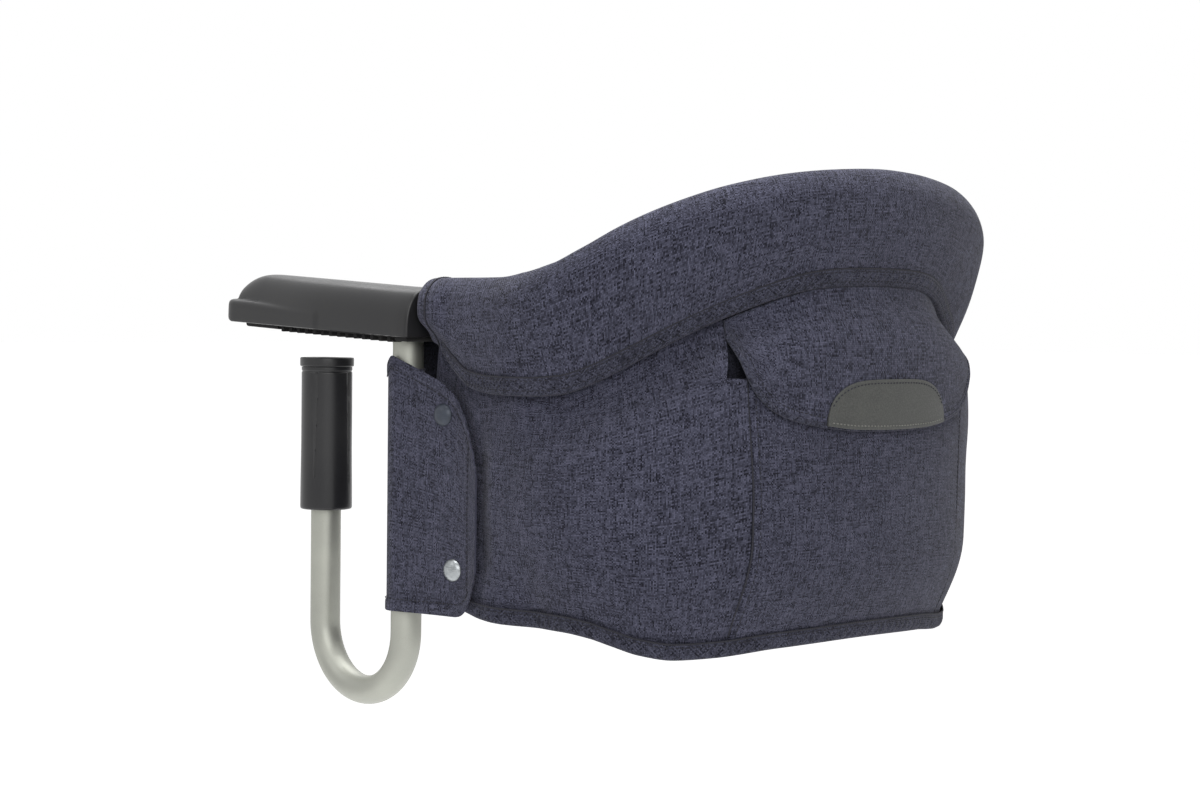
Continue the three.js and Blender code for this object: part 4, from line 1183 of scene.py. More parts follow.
class Padding:
    """Swells a closed fabric form with a short cloth simulation."""

    PRESSURE = 4.0
    FRAMES = 20

    @staticmethod
    def swell(obj: Piece, pinned: Array, cap: float) -> None:
        """Args:
            obj: The closed piece.
            pinned: Points that seams hold.
            cap: The most a point may move, in millimetres.
        """
        mesh, scene = obj.data, bpy.context.scene
        rest = np.zeros(len(mesh.vertices) * 3, np.float32)
        mesh.vertices.foreach_get("co", rest)
        rest = rest.reshape(-1, 3).astype(float)
        held = obj.vertex_groups.new(name="seams")
        held.add(np.nonzero(pinned)[0].tolist(), 1.0, "REPLACE")
        cloth = obj.modifiers.new("filling", "CLOTH")
        cloth.settings.use_pressure = True
        cloth.settings.uniform_pressure_force = Padding.PRESSURE
        cloth.settings.effector_weights.gravity = 0.0
        cloth.settings.vertex_group_mass = held.name
        cloth.settings.quality = 6
        cloth.point_cache.frame_start = 1
        cloth.point_cache.frame_end = Padding.FRAMES
        for number in range(1, Padding.FRAMES + 1):
            scene.frame_set(number)
            bpy.context.view_layer.update()
        graph = bpy.context.evaluated_depsgraph_get()
        moved = np.zeros(len(mesh.vertices) * 3, np.float32)
        obj.evaluated_get(graph).data.vertices.foreach_get("co", moved)
        shift = moved.reshape(-1, 3).astype(float) - rest
        reach = np.linalg.norm(shift, axis=1, keepdims=True)
        limit = cap * MM
        eased = limit * np.tanh(reach / limit) / np.maximum(reach, 1e-9)
        shift *= np.where(reach > 1e-9, eased, 1.0)
        shift[pinned] = 0.0
        obj.modifiers.remove(cloth)
        obj.vertex_groups.remove(held)
        scene.frame_set(1)
        mesh.vertices.foreach_set("co", (rest + shift).astype(np.float32).ravel())
        mesh.update()


def ripple(u: Array, v: Array, seed: int, size: float) -> Array:
    """Slow soft waves for hanging cloth.

    Args:
        u: Places along the cloth, in millimetres.
        v: Places up the cloth, in millimetres.
        seed: Picks the waves.
        size: Height of the waves, in millimetres.

    Returns:
        Heights of the waves.
    """
    rng = np.random.default_rng(seed)
    total = np.zeros(np.broadcast(u, v).shape)
    for _ in range(WAVES):
        length, turn = rng.uniform(*WAVE_LENGTHS), rng.uniform(0, math.pi)
        phase = rng.uniform(0, 2 * math.pi)
        total = total + np.sin((u * math.cos(turn) + v * math.sin(turn)) * 2 * math.pi / length + phase)
    return total * size / 4.0


@dataclass(frozen=True)
class ArmFrame:
    """Places on one arm: across, forward from the leg and up from the table."""

    side: Side
    pitch: float = math.radians(2.5)

    def at(self, x: Array, a: Array, h: Array) -> Array:
        """Points in the seat's frame for places on the arm."""
        c, s = math.cos(self.pitch), math.sin(self.pitch)
        return spots(self.side.value * (LEG_X + x), -a * c + h * s, a * s + h * c)

    def ring(self, a: float, right: Array) -> Array:
        """A closed ring at one place, from its right half as distances across and heights."""
        both = np.concatenate([right, right[::-1] * [-1.0, 1.0]])
        return self.at(both[:, 0], a, both[:, 1])


@dataclass
class Arm:
    """One arm: moulded shell with a domed ridge on a blunt-nosed base, over a ribbed rubber pad."""

    side: Side
    ribs: RibTree
    tip: float = 154.5
    rear: float = -22.0
    half_width: float = 21.0
    bottom: float = 2.6
    ledge: float = 16.5
    base_start: float = 62.0
    dome_fall: float = 122.0
    dome_front: float = 153.2
    nose_start: float = 142.0
    nose_half: float = 12.0
    mouth_rear: float = -19.0
    mouth_front: float = 141.5
    pad_top: float = 6.2
    pad_gap: float = 3.9
    rib_pitch: float = 7.9
    rib_groove: float = 3.2
    rib_depth: float = 1.8
    rib_sink: float = 0.9
    rib_first: float = 104.0
    rib_count: int = 14

    @property
    def place(self) -> ArmFrame:
        """The arm's own frame."""
        return ArmFrame(self.side)

    def dome_top(self, a: Array) -> Array:
        """Height of the ridge along the arm."""
        straight = 31.0 + 1.6 * np.maximum(0.0, a) / 123.0
        t = np.clip((a - self.dome_fall) / (self.dome_front - self.dome_fall), 0.0, 1.0)
        slope = (1.0 - t ** 2.4) ** 0.62
        return self.ledge - 0.5 + (straight - self.ledge + 0.5) * slope

    def dome_width(self, a: Array) -> Array:
        """Half width of the ridge along the arm."""
        rear = 1.0 - 0.015 * smooth(-14.0, self.rear, a)
        taper = 4.6 * smooth(self.base_start, 150, a)
        return self.half_width * rear - taper - 4.5 * smooth(146, self.dome_front, a)

    def nose_width(self, a: Array) -> Array:
        """Half width of the base along the arm."""
        t = np.clip((a - self.nose_start) / (self.tip - self.nose_start), 0.0, 1.0)
        return self.nose_half + (self.half_width - self.nose_half) * (1.0 - t ** 3) ** 0.5

    def ring(self, a: float, inset: float) -> Array:
        """One closed ring of the shell.

        Args:
            a: Place along the arm.
            inset: How far the ring is drawn in, for rounded ends.

        Returns:
            Ring points in the seat's frame.
        """
        low = self.bottom + 3.0 * float(smooth(self.tip - 9, self.tip, a)) + 0.4 * inset
        f = np.linspace(0.07, math.pi / 2 - 0.012, 30)

        def radius(width: float, height: float, power: float) -> Array:
            """Reach of a squared-off round at each angle."""
            return ((np.cos(f) / width) ** power + (np.sin(f) / height) ** power) ** (-1.0 / power)

        reach = np.full(f.shape, 0.5)
        if a <= self.dome_front:
            reach = radius(float(self.dome_width(a)), float(self.dome_top(a)) - low, 2.9)
        if a >= self.base_start:
            shallow = 3.0 * (1 - float(smooth(self.base_start, 140, a)))
            top = self.ledge - shallow - 1.5 * float(smooth(self.tip - 4, self.tip, a))
            base = radius(float(self.nose_width(a)), top - low, 9.0)
            reach = (reach ** 40 + base ** 40) ** (1.0 / 40)
        reach = reach - inset
        x, h = reach * np.cos(f), low + reach * np.sin(f)
        foot = float(x[0])
        depth = 2.5 if self.mouth_rear < a < self.mouth_front else 0.05
        inner = max(foot - 3.1, 3.0)
        lip = [[inner, low + depth], [inner + 0.02, low], [foot - 0.7, low], [foot - 0.15, low + 0.3]]
        return self.place.ring(a, np.concatenate([lip, np.stack([x, np.maximum(h, low + 0.7)], -1)]))

    def build_shell(self) -> Piece:
        """The moulded shell."""
        stops = [(-22.0, 1.6), (-21.85, 1.0), (-21.5, 0.5), (-21.0, 0.18), (-20.3, 0.0), (-19.05, 0.0)]
        stretches = ((-18.95, 60, 30), (62, 120, 26), (122, 141.4, 14), (141.6, self.tip - 3.0, 20))
        for start, end, count in stretches:
            stops += [(a, 0.0) for a in np.linspace(start, end, count)]
        ends = ((2.4, 0.0), (1.7, 0.12), (1.0, 0.45), (0.5, 0.95), (0.15, 1.7), (0.0, 2.6))
        stops += [(self.tip - back, inset) for back, inset in ends]
        rings = np.stack([self.ring(a, inset) for a, inset in stops])
        return MeshDraft.piece(f"{self.side.label}_arm_moulding", rings, PLASTIC, 38.0)

    def pad_half(self, a: float) -> float:
        """Half width of the pad along the arm."""
        return float(self.dome_width(a)) - self.pad_gap

    def build_pad(self) -> Piece:
        """The rubber pad: a plate with a row of ribs."""
        behind = self.rib_first - self.rib_pitch * self.rib_count - self.rib_groove / 2
        ahead = self.rib_first + self.rib_groove / 2
        stops = [(-18.6, 0.9), (-18.2, 0.3), (-17.6, 0.0), (behind - 0.1, 0.0), (behind, self.rib_depth)]
        stops += [(a, self.rib_depth) for a in np.linspace(behind + 2, ahead - 2, 24)]
        stops += [(ahead, self.rib_depth), (ahead + 0.1, 0.0), (122.0, 0.0), (134.0, 0.0)]
        stops += [(140.0, 0.0), (140.7, 0.3), (141.0, 0.9)]
        rings = []
        for a, low in stops:
            w = self.pad_half(a)
            right = np.array([[w - 1.0, low], [w - 0.3, low + 0.3], [w, low + 1.0], [w, self.pad_top]])
            rings.append(self.place.ring(a, right))
        name = f"{self.side.label}_ribbed_pad"
        plate = MeshDraft.piece(name + "_plate", np.stack(rings), RUBBER, 35.0)
        first = self.rib_first - self.rib_pitch / 2
        height = self.rib_depth / 2 + self.rib_sink / 2
        start, after = self.place.at(0.0, np.array([first, first - self.rib_pitch]), height)
        wide, narrow = self.pad_half(20.0), self.pad_half(first)
        sizes = {"Count": self.rib_count, "First": (start * MM).tolist(),
                 "Step": ((after - start) * MM).tolist(), "Tilt": [-self.place.pitch, 0.0, 0.0],
                 "Half Width": narrow * MM, "Rib Width": (self.rib_pitch - self.rib_groove) * MM,
                 "Rib Height": (self.rib_depth + self.rib_sink) * MM, "Rounding": 0.7 * MM,
                 "Narrowing": (1 - wide / narrow) / self.rib_count, "Finish": RUBBER.material}
        made = self.ribs.grown(plate, name, sizes)
        shade_smooth(made.data, 32.0)
        return made

    def dress(self) -> None:
        """Builds both pieces and sets them on their clamp."""
        side = self.side.label
        Carry.body(self.build_shell(), PLASTIC, f"{side}_clamp", f"{side}_arm_shell")
        Carry.body(self.build_pad(), RUBBER, f"{side}_clamp", f"{side}_arm_pad")


@dataclass
class ScrewClamp:
    """One bent clamp tube with its twist grip and pressure cap."""

    side: Side
    tube_r: float = 9.0
    spacing: float = 76.0
    bottom: float = -208.0
    upper_bend: float = 22.0
    front_top: float = -86.0
    arm_height: float = 18.0
    arm_end: float = 136.0
    grip_r: float = 15.2
    grip_top: float = -17.5
    grip_low: float = -103.0
    bore_r: float = 9.45
    bore_end: float = -21.5
    flute_depth: float = 1.5
    flute_end: float = -90.0
    cap_r: float = 16.15
    cap_top: float = -11.8
    cap_low: float = -17.2
    flutes: tuple[float, ...] = (23.0, 113.0, 203.0, 293.0)

    def path(self) -> tuple[Array, Array]:
        """The tube's centre line and how strongly it bends at each point."""
        arm = ArmFrame(Side.RIGHT)
        turn = self.spacing / 2 - 0.02
        corners = ((0.0, self.arm_height / math.cos(arm.pitch)), (0.0, self.bottom),
                   (-self.spacing, self.bottom), (-self.spacing, self.front_top))
        stops = [arm.at(0.0, self.arm_end, self.arm_height)]
        stops += [np.array([LEG_X, y, z]) for y, z in corners]
        points, bends = [stops[0]], [0.0]
        for i, r in ((1, self.upper_bend), (2, turn), (3, turn)):
            p = stops[i]
            d0, d1 = unit(stops[i - 1] - p), unit(stops[i + 1] - p)
            half = math.acos(float(np.clip(d0 @ d1, -1, 1))) / 2
            centre = p + unit(d0 + d1) * r / math.sin(half)
            start, end = (d * r / math.tan(half) + p - centre for d in (d0, d1))
            sweep = math.pi - 2 * half
            whole = math.sin(sweep)
            for k in np.linspace(0, 1, max(8, int(sweep / math.radians(4.5))) + 1):
                q = start * math.sin((1 - k) * sweep) / whole + end * math.sin(k * sweep) / whole
                points.append(centre + q)
                bends.append(float(np.sin(k * math.pi)) if i == 1 else 1.0)
        raw = np.array([*points, stops[-1]])
        bend = np.array([*bends, 0.0])
        keep = np.concatenate([[True], np.linalg.norm(np.diff(raw, axis=0), axis=1) > 0.05])
        raw, bend = raw[keep], bend[keep]
        run = run_of(raw)
        even = np.linspace(0, run[-1], 220)
        path = resampled(raw, run, even)
        strength = np.interp(even, run, bend)
        soft = np.convolve(np.pad(strength, 6, mode="edge"), np.ones(13) / 13, mode="valid")
        path[:, 0] *= self.side.value
        return path, soft

    def build_tube(self) -> Piece:
        """The bent tube, a little flattened where it bends, open at the front leg's top."""
        path, bend = self.path()
        radii = np.stack([self.tube_r * (1 + 0.03 * bend), self.tube_r * (1 - 0.055 * bend)], -1)
        outer = tube_rings(path, radii, np.array([1.0, 0.0, 0.0]), 48)
        middle = path[-1]
        mouth = ((0.95, -0.25), (0.88, -0.25), (0.83, 0.1), (0.83, 14.0))
        ends = [middle + (outer[-1:] - middle) * share - np.array([0, 0, down]) for share, down in mouth]
        rings = np.concatenate([outer, *ends])
        return MeshDraft.piece(f"{self.side.label}_bent_tube", rings, TUBE, 50.0)

    def build_grip(self) -> Piece:
        """The twist grip with four tapering flutes and a groove under its cap."""
        top, segments = self.grip_top, 192
        heights = np.concatenate([np.linspace(top, top - 4, 14), np.linspace(top - 5, -99.5, 64)])
        f = np.linspace(0, 2 * math.pi, segments, endpoint=False)
        z, turn = np.meshgrid(heights, f, indexing="ij")
        r = np.full(z.shape, self.grip_r) + 0.35 * smooth(-60, -100, z)
        r -= 0.5 * np.exp(-((z - top + 2.6) / 0.5) ** 2)
        share = np.clip((z - self.flute_end) / (top - 3.4 - self.flute_end), 0.0, 1.0)
        live = smooth(top - 2.8, top - 3.8, z) * smooth(-91, -86, z)
        width = 0.3 + 4.4 * share
        for flute in self.flutes:
            away = np.angle(np.exp(1j * (turn - math.radians(flute)))) * self.grip_r
            inside = np.clip((away + width / 2) / width, 0.0, 1.0)
            cut = np.where((inside > 0) & (inside < 1), 0.15 + inside, 0.0)
            r -= self.flute_depth * cut * live * (0.35 + 0.65 * share)
        wall = spots(r * np.cos(turn), r * np.sin(turn), z)
        end, low, bore = float(r[-1].mean()), self.grip_low, self.bore_r
        foot = rounded_profile([(end, -99.7), (end, low), (bore + 0.4, low), (bore, low + 0.5),
                                (bore, self.bore_end)], 2.2)
        net = np.concatenate([wall, turned_rings(foot, segments)[1:]]) + self.centre()
        return MeshDraft.turned(f"{self.side.label}_twist_grip", net, GRIP_PLASTIC, 34.0)

    def build_cap(self) -> Piece:
        """The flanged pressure cap with a shallow dished face."""
        top, low, dish, roof = self.cap_top, self.cap_low, self.cap_top - 0.45, self.cap_top - 1.8
        profile = rounded_profile([(0.6, dish), (8.0, dish), (9.0, top), (self.cap_r, top),
                                   (self.cap_r, low), (9.5, low), (9.5, roof), (0.6, roof)], 0.9)
        net = turned_rings(profile, 96) + self.centre()
        return MeshDraft.turned(f"{self.side.label}_pressure_cap", net, GRIP_PLASTIC, 34.0)

    def centre(self) -> Array:
        """The screw's axis."""
        return np.array([self.side.value * LEG_X, -self.spacing, 0.0])

    def dress(self) -> None:
        """Builds the pieces and sets them on their bodies."""
        side = self.side.label
        Carry.body(self.build_tube(), TUBE, f"{side}_clamp", f"{side}_clamp_tube")
        Carry.body(self.build_grip(), GRIP_PLASTIC, f"{side}_grip", f"{side}_grip_sleeve")
        Carry.body(self.build_cap(), GRIP_PLASTIC, f"{side}_cap", f"{side}_grip_cap")


@dataclass
class HingeCollar:
    """The round collar between an arm's rear end and the rim."""

    side: Side
    axis_z: float = 20.0
    bore_r: float = 8.3
    radius: float = 13.0
    front: float = 23.9
    back: float = 31.5
    groove: float = 0.7

    def dress(self) -> None:
        """Turns the collar and sets it on the seat."""
        middle, deep = (self.front + self.back) / 2, self.radius - self.groove
        profile = rounded_profile([(self.bore_r, self.front), (self.radius, self.front),
                                   (self.radius, middle - 0.6), (deep, middle - 0.3),
                                   (deep, middle + 0.3), (self.radius, middle + 0.6),
                                   (self.radius, self.back), (self.bore_r, self.back)], 1.2)
        x, z, y = np.moveaxis(turned_rings(profile, 72), -1, 0)
        rings = spots(self.side.value * LEG_X + x, y, self.axis_z + z)
        side = self.side.label
        collar = MeshDraft.looped(f"{side}_round_collar", rings, PLASTIC)
        Carry.body(collar, PLASTIC, "seat", f"{side}_hinge_collar")


@dataclass
class Rim:
    """The padded rim cover on the hoop, its bound lower edge and its sewn lines."""

    stitches: StitchTree
    cap: float = 3.2
    band: float = 12.0
    end_half: float = 16.8
    end_length: float = 0.04
    seam: float = 1.676
    mouth_r: float = 13.5
    mouth_depth: float = 5.0
    section_points: int = 44

    def stations(self) -> Array:
        """Places along the rim, close together at its rounded front ends."""
        tail = SEAT.rim_front - self.end_length * (1 - rise(np.linspace(0, 1, 9)))
        half = np.concatenate([np.linspace(0, 1.648, 98), np.linspace(1.656, 1.71, 28), tail])
        return np.concatenate([-half[:0:-1], half])

    def section(self, w: Array) -> Array:
        """Closed sections of the cover as outward offset and height.

        Args:
            w: Places along the rim.

        Returns:
            Offsets and heights as stations, section points, 2.
        """
        top, low_z = SEAT.rim_top(w), SEAT.rim_low(w)
        axis = top - SEAT.roll
        low = np.maximum(14.0, top - low_z - SEAT.roll - 1.0)
        end = 1 + (self.end_half / SEAT.half_roll - 1) * smooth(1.5, 1.64, np.abs(w))
        half, roll = (SEAT.half_roll - 0.9) * end, SEAT.roll - 0.8

        def band(marks: Sequence[tuple[float, float, bool]]) -> list[Array]:
            """Points of the hanging band, some of which widen with the roll at its ends."""
            return [np.stack([offset * (end if wide else 1.0) + 0 * w, -share * low], -1)
                    for offset, share, wide in marks]

        outside = band(((3.5, 1.0, False), (4.5, 0.93, False), (7.6, 0.70, False), (11.0, 0.42, True)))
        inside = band(((-8.8, 0.40, True), (-3.6, 0.70, False), (-0.4, 0.93, False), (0.8, 1.0, False)))
        turns = [math.radians(degrees) for degrees in (-8, 22, 50, 74, 106, 130, 158, 186)]
        over = [np.stack([half * math.cos(f), roll * math.sin(f) + 0 * w], -1) for f in turns]
        ring = np.stack([*outside, *over, *inside], 1)
        count = ring.shape[1]
        fine = np.arange(self.section_points) * count / float(self.section_points)
        i = np.floor(fine).astype(int)
        t = (fine - i)[None, :, None]
        p = [ring[:, (i + d) % count] for d in (-1, 0, 1, 2)]
        curve = 0.5 * (2 * p[1] + (p[2] - p[0]) * t + (2 * p[0] - 5 * p[1] + 4 * p[2] - p[3]) * t ** 2
                       + (3 * p[1] - p[0] - 3 * p[2] + p[3]) * t ** 3)
        curve[..., 0] -= SEAT.lean(w)[:, None] * np.maximum(0.0, -curve[..., 1] / low[:, None])
        close = np.clip((np.abs(w) - SEAT.rim_front + self.end_length) / self.end_length, 0.0, 1.0)
        keep = (0.90 + 0.10 * np.sqrt(np.maximum(0.0, 1 - close ** 2)))[:, None]
        keep = keep - 0.07 * np.exp(-((np.abs(w) - self.seam) / 0.005) ** 2)[:, None]
        curve *= keep[..., None]
        curve[..., 1] += axis[:, None]
        return curve

    def mouth(self, sign: float) -> Array:
        """The turned-in opening of a front end, where the collar sits."""
        w = np.array([sign * SEAT.rim_front])
        ring = self.section(w)[0]
        axis = float((SEAT.rim_top(w) - SEAT.roll)[0])
        circle = unit(ring - [0.0, axis]) * self.mouth_r + [0.0, axis]
        rows = []
        for share, back in ((0.35, 0.0), (0.75, 0.25), (1.0, 0.9), (1.0, self.mouth_depth)):
            place = sign * (SEAT.rim_front - back * MM * 10)
            spot = ring * (1 - share) + circle * share
            rows.append(SEAT.hoop.point(np.full(len(ring), place), spot[:, 0], spot[:, 1]))
        return np.stack(rows)

    def surface(self, w: Array) -> Array:
        """The cover's points as stations, section points, 3."""
        ring = self.section(w)
        return SEAT.hoop.point(w[:, None], ring[..., 0], ring[..., 1])

    def build_cover(self) -> Piece:
        """The padded cover, swollen between its seams."""
        w = self.stations()
        mouths = self.mouth(-1.0)[::-1], self.mouth(1.0)
        rings = np.concatenate([mouths[0], self.surface(w), mouths[1]])
        obj = MeshDraft.piece("padded_rim", rings, FABRIC, 70.0)
        low = self.section(w)[..., 1] < (SEAT.rim_low(w) + self.band)[:, None]
        held = low | (np.abs(w) > 1.6)[:, None]
        fixed = np.ones((len(mouths[0]), held.shape[1]), bool)
        Padding.swell(obj, np.concatenate([fixed, held, fixed]).ravel(), self.cap)
        return refined(obj)

    @staticmethod
    def binding_section(w: Array, grow: float) -> Array:
        """The binding's folded section round the cover's lower edge.

        Args:
            w: Places along the rim.
            grow: How far outside the cover the tape lies.

        Returns:
            Points as stations, section points, 3.
        """
        side, turn = 0.8 * grow, 0.1 - 0.6 * grow
        marks = ((6.5 + grow, 8.5, 0.0), (6.2 + grow, 7.3, 0.0), (5.9 + grow, 6.1, 0.7),
                 (5.5 + grow, 4.8, 1.0), (5.1 + grow, 3.4, 0.8), (4.8 + grow, 2.0, 0.1),
                 (4.5 + grow, 1.0, 0.3), (3.9 + side, turn, 0.0), (2.4, -0.3 - grow, 0.0),
                 (0.9 - side, turn, 0.0), (0.1 - grow, 1.4, 0.0), (-0.5 - grow, 3.6, 0.0),
                 (-1.3 - grow, 6.0, 0.0))
        return folded_tape(SEAT.hoop, w, SEAT.lean(w), SEAT.rim_low(w), marks, (0.6, 0.45, 0.026))

    def build_binding(self) -> Piece:
        """The tape folded over the cover's lower edge."""
        w = np.linspace(-1.64, 1.64, 760)
        faces = (self.binding_section(w, grow) for grow in (1.0, 0.3))
        return MeshDraft.sheet("rim_edge_tape", *faces, TAPE)

    def sewn_lines(self) -> list[Array]:
        """Two lines along the tape."""
        w = np.linspace(-1.62, 1.62, 420)
        z = SEAT.rim_low(w)
        return [SEAT.hoop.point(w, o - SEAT.lean(w), z + h) for o, h in ((7.25, 7.4), (5.85, 1.9))]

    def seam_shade_lines(self) -> list[Array]:
        """Dark thread along the real seam above the tape and across each front end, drawn as one continuous
        line that paints the seams' shade.
        """
        w = np.linspace(-1.63, 1.63, 420)
        lines = [SEAT.hoop.point(w, 7.1 - SEAT.lean(w), SEAT.rim_low(w) + 9.2)]
        for sign in (-1.0, 1.0):
            ring = self.surface(sign * (self.seam + np.array([-0.012, 0.012]))).mean(0)
            lines.append(ring[:26])
        return lines

    def dress(self) -> None:
        """Builds the cover, tape and stitches and sets them on the seat."""
        cover = Carry.body(self.build_cover(), FABRIC, "seat", "rim_cover")
        Carry.body(self.build_binding(), TAPE, "seat", "rim_binding")
        # The second row of lines is continuous dark thread that paints the seams' shade.
        for name, lines, thread in (("rim_stitches", self.sewn_lines(), Thread.SEAM),
                                    ("rim_seam_shade_line", self.seam_shade_lines(), Thread.SEAM_SHADE)):
            Carry.body(self.stitches.sew(name, lines, DARK_THREAD, thread), DARK_THREAD, "seat")


@dataclass
class Bucket:
    """The hanging fabric: side panels, back lining, pocket, and the tape round their lower edge."""

    stitches: StitchTree
    thickness: float = 2.4
    pocket_thickness: float = 1.8
    shade_lining_thickness: float = 0.9
    mm_per_place: float = 150.0
    mm_per_height: float = 180.0
    wave: float = 0.55
    gather: float = 0.35
    gather_pitch: float = 15.0
    pocket_puff: float = 1.2
    wrap_recess: float = 5.0

    def pucker(self, w: Array, v: Array, seed: int) -> Array:
        """Soft waves that die out at a panel's sewn edges, and small gathers at its foot."""
        run = np.abs(w) * self.mm_per_place
        free = np.sin(np.clip(v, 0, 1) * math.pi) ** 0.7
        seam = self.gather * np.sin(run * 2 * math.pi / self.gather_pitch + seed) * np.exp(-v / 0.07)
        return ripple(run, v * self.mm_per_height, seed, self.wave) * free + seam

    @staticmethod
    def bulge(v: Array, foot: float, swell: float, reach: float) -> Array:
        """Outward offset of a panel's face: foot below, and fully swollen from a reach of its height."""
        return foot + swell * rise(np.minimum(1.0, v / reach))

    def panel(self, name: str, w: Array, bulge: tuple[float, float, float], tuck: float, seed: int,
              fall: float = 0.0) -> tuple[Piece, Array]:
        """One hanging panel.

        Args:
            name: The piece's name.
            w: Places along the outline.
            bulge: Foot, swell and reach of its face.
            tuck: How far its top lies inside the hoop's plan.
            seed: Picks its waves.
            fall: How much further down it leaves the hoop's plan.

        Returns:
            The piece and its outer net.
        """
        v = np.concatenate([np.linspace(0, 0.7, 30), np.linspace(0.715, 0.86, 16),
                            np.linspace(0.88, 1, 6)])[None, :]
        place = w[:, None]
        waves = self.pucker(place, v, seed) * (1 - smooth(0.6, 0.8, v))
        skin = self.bulge(v, *bulge) + waves - 0.4
        if np.abs(w).min() > SEAT.seam:
            skin = skin - self.wrap_recess * smooth(1.27, 1.42, np.abs(place)) * smooth(0.08, 0.3, v)
            place = SEAT.cut_back(place, SEAT.panel_height(place, v))
        outer, inner = (SEAT.hanging(place, v, skin, tuck, depth, fall) for depth in (0.0, self.thickness))
        return MeshDraft.sheet(name, outer, inner, FABRIC), outer

    def pocket_skin(self, v: Array) -> Array:
        """Outward offset of the pocket's face."""
        return self.bulge(v, -4.0, 4.0, 0.6)

    @staticmethod
    def pocket_height(w: Array, v: Array) -> Array:
        """Heights on the pocket for shares of it, from its foot to its mouth."""
        mouth = -10.0 - 4.0 * np.abs(w) / SEAT.seam
        return SEAT.panel_low(w) + (mouth - SEAT.panel_low(w)) * v

    @staticmethod
    def pocket_point(w: Array, skin: Array, z: Array) -> Array:
        """Points of the pocket, which flares along its seams."""
        return SEAT.body.point(w * (1 + SEAT.flare(z) / SEAT.seam), skin - SEAT.tuck(w, z), z)

    def pocket_net(self, depth: float) -> Array:
        """The pocket's face, or a face below it."""
        w = np.linspace(-SEAT.seam, SEAT.seam, 130)[:, None]
        v = np.linspace(0, 1, 40)[None, :]
        puff = self.pocket_puff * np.sin(np.clip(v, 0, 1) * math.pi)
        full = puff * (1 - (np.abs(w) / SEAT.seam) ** 6)
        skin = self.pocket_skin(v) + full + 0.8 * self.pucker(w, v, 5) - depth
        edge = 1.3 * np.exp(-((np.abs(w) - SEAT.seam) / 0.006) ** 2)
        return self.pocket_point(w, skin - edge, self.pocket_height(w, v))

    def shade_lining_net(self, depth: float) -> Array:
        """A dark lining sheet inside the pocket's mouth, whose darkness is painted shade, or a face below
        it.
        """
        w, v = np.linspace(-0.462, 0.462, 96)[:, None], np.linspace(0.72, 0.97, 26)[None, :]
        behind = -8.5 + 5.2 * smooth(0.43, 0.458, np.abs(w)) + 0 * v
        return SEAT.hanging(w, v, behind, 5.6, depth)

    @staticmethod
    def tape_section(w: Array, grow: float) -> Array:
        """The folded tape round the bucket's lower edge, that far outside it."""
        turn = 0.7 - grow
        marks = ((-2.3 + grow, 9.0, 0.0), (-2.5 + grow, 7.4, 0.0), (-2.7 + grow, 5.8, 0.8),
                 (-2.9 + grow, 4.2, 1.0), (-3.2 + grow, 2.6, 0.8), (-3.7 + grow, 1.2 - 0.3 * grow, 0.3),
                 (-4.8 + 0.5 * grow, turn, 0.0), (-6.6, 0.4 - grow, 0.0), (-8.4 - 0.5 * grow, turn, 0.0),
                 (-9.2 - grow, 1.8, 0.0), (-9.4 - grow, 4.2, 0.0), (-9.4 - grow, 7.0, 0.0))
        return folded_tape(SEAT.body, w, SEAT.tuck_at(w), SEAT.base_low(w), marks, (0.4, 0.35, 0.024))

    def dress_panels(self) -> None:
        """Builds the side panels and the back lining and hangs them between rim and base."""
        for side in Side:
            w = side.value * np.concatenate([np.linspace(SEAT.seam + 0.002, 0.434, 30),
                                             np.linspace(0.442, 1.0, 72),
                                             np.linspace(1.01, SEAT.panel_front, 60)])
            obj, net = self.panel(f"{side.label}_side_cloth", w, (-4.0, 4.0, 0.75), 2.7, 11)
            Carry.bucket(obj, FABRIC, f"{side.label}_side_panel")
            Carry.cloth(obj, net, "hung", "padded_rim")
        w = np.linspace(-0.452, 0.452, 118)
        obj, net = self.panel("back_lining", w, (-8.0, 2.6, 0.7), 7.2, 23, 90.0)
        Carry.bucket(obj, FABRIC, "back_panel")
        Carry.cloth(obj, net, "hung", "padded_rim")

    def dress_pocket(self) -> None:
        """Builds the pocket and the dark lining in its mouth, whose colour is painted shade."""
        for name, face, thickness, finish, nodes in (
                ("pocket_mouth_shade_lining", self.shade_lining_net, self.shade_lining_thickness, PAINTED_SHADE_LINING, ()),
                ("back_pocket", self.pocket_net, self.pocket_thickness, FABRIC, ("pocket_panel",))):
            net = face(0.0)
            obj = Carry.bucket(MeshDraft.sheet(name, net, face(thickness), finish), finish, *nodes)
            Carry.cloth(obj, net, "hung", "back_lining")

    def dress(self) -> None:
        """Builds the panels, the pocket, the tape and the sewn lines."""
        self.dress_panels()
        self.dress_pocket()
        w = np.linspace(-SEAT.base_front, SEAT.base_front, 760)
        faces = (self.tape_section(w, grow) for grow in (0.5, -0.3))
        Carry.bucket(MeshDraft.sheet("base_edge_tape", *faces, TAPE), TAPE, "base_binding")
        tall = np.linspace(0.06, 0.97, 120)
        for name, thread, out, up, inward, lift in (
                ("bucket_stitches", Thread.SEAM, -1.95, 7.4, 0.017, 0.45),
                # The second row is continuous dark thread along the tape's top and the pocket's seams:
                # painted shade of their grooves.
                ("bucket_seam_shade_lines", Thread.SEAM_SHADE, -2.0, 9.4, -0.0005, -0.75)):
            lines = [SEAT.body.point(w, out - SEAT.tuck_at(w), SEAT.base_low(w) + up)]
            for sign in (-1.0, 1.0):
                spot = np.full(tall.shape, sign * (SEAT.seam - inward))
                skin = self.pocket_skin(tall) + lift
                lines.append(self.pocket_point(spot, skin, self.pocket_height(spot, tall)))
            Carry.bucket(self.stitches.sew(name, lines, DARK_THREAD, thread), DARK_THREAD)


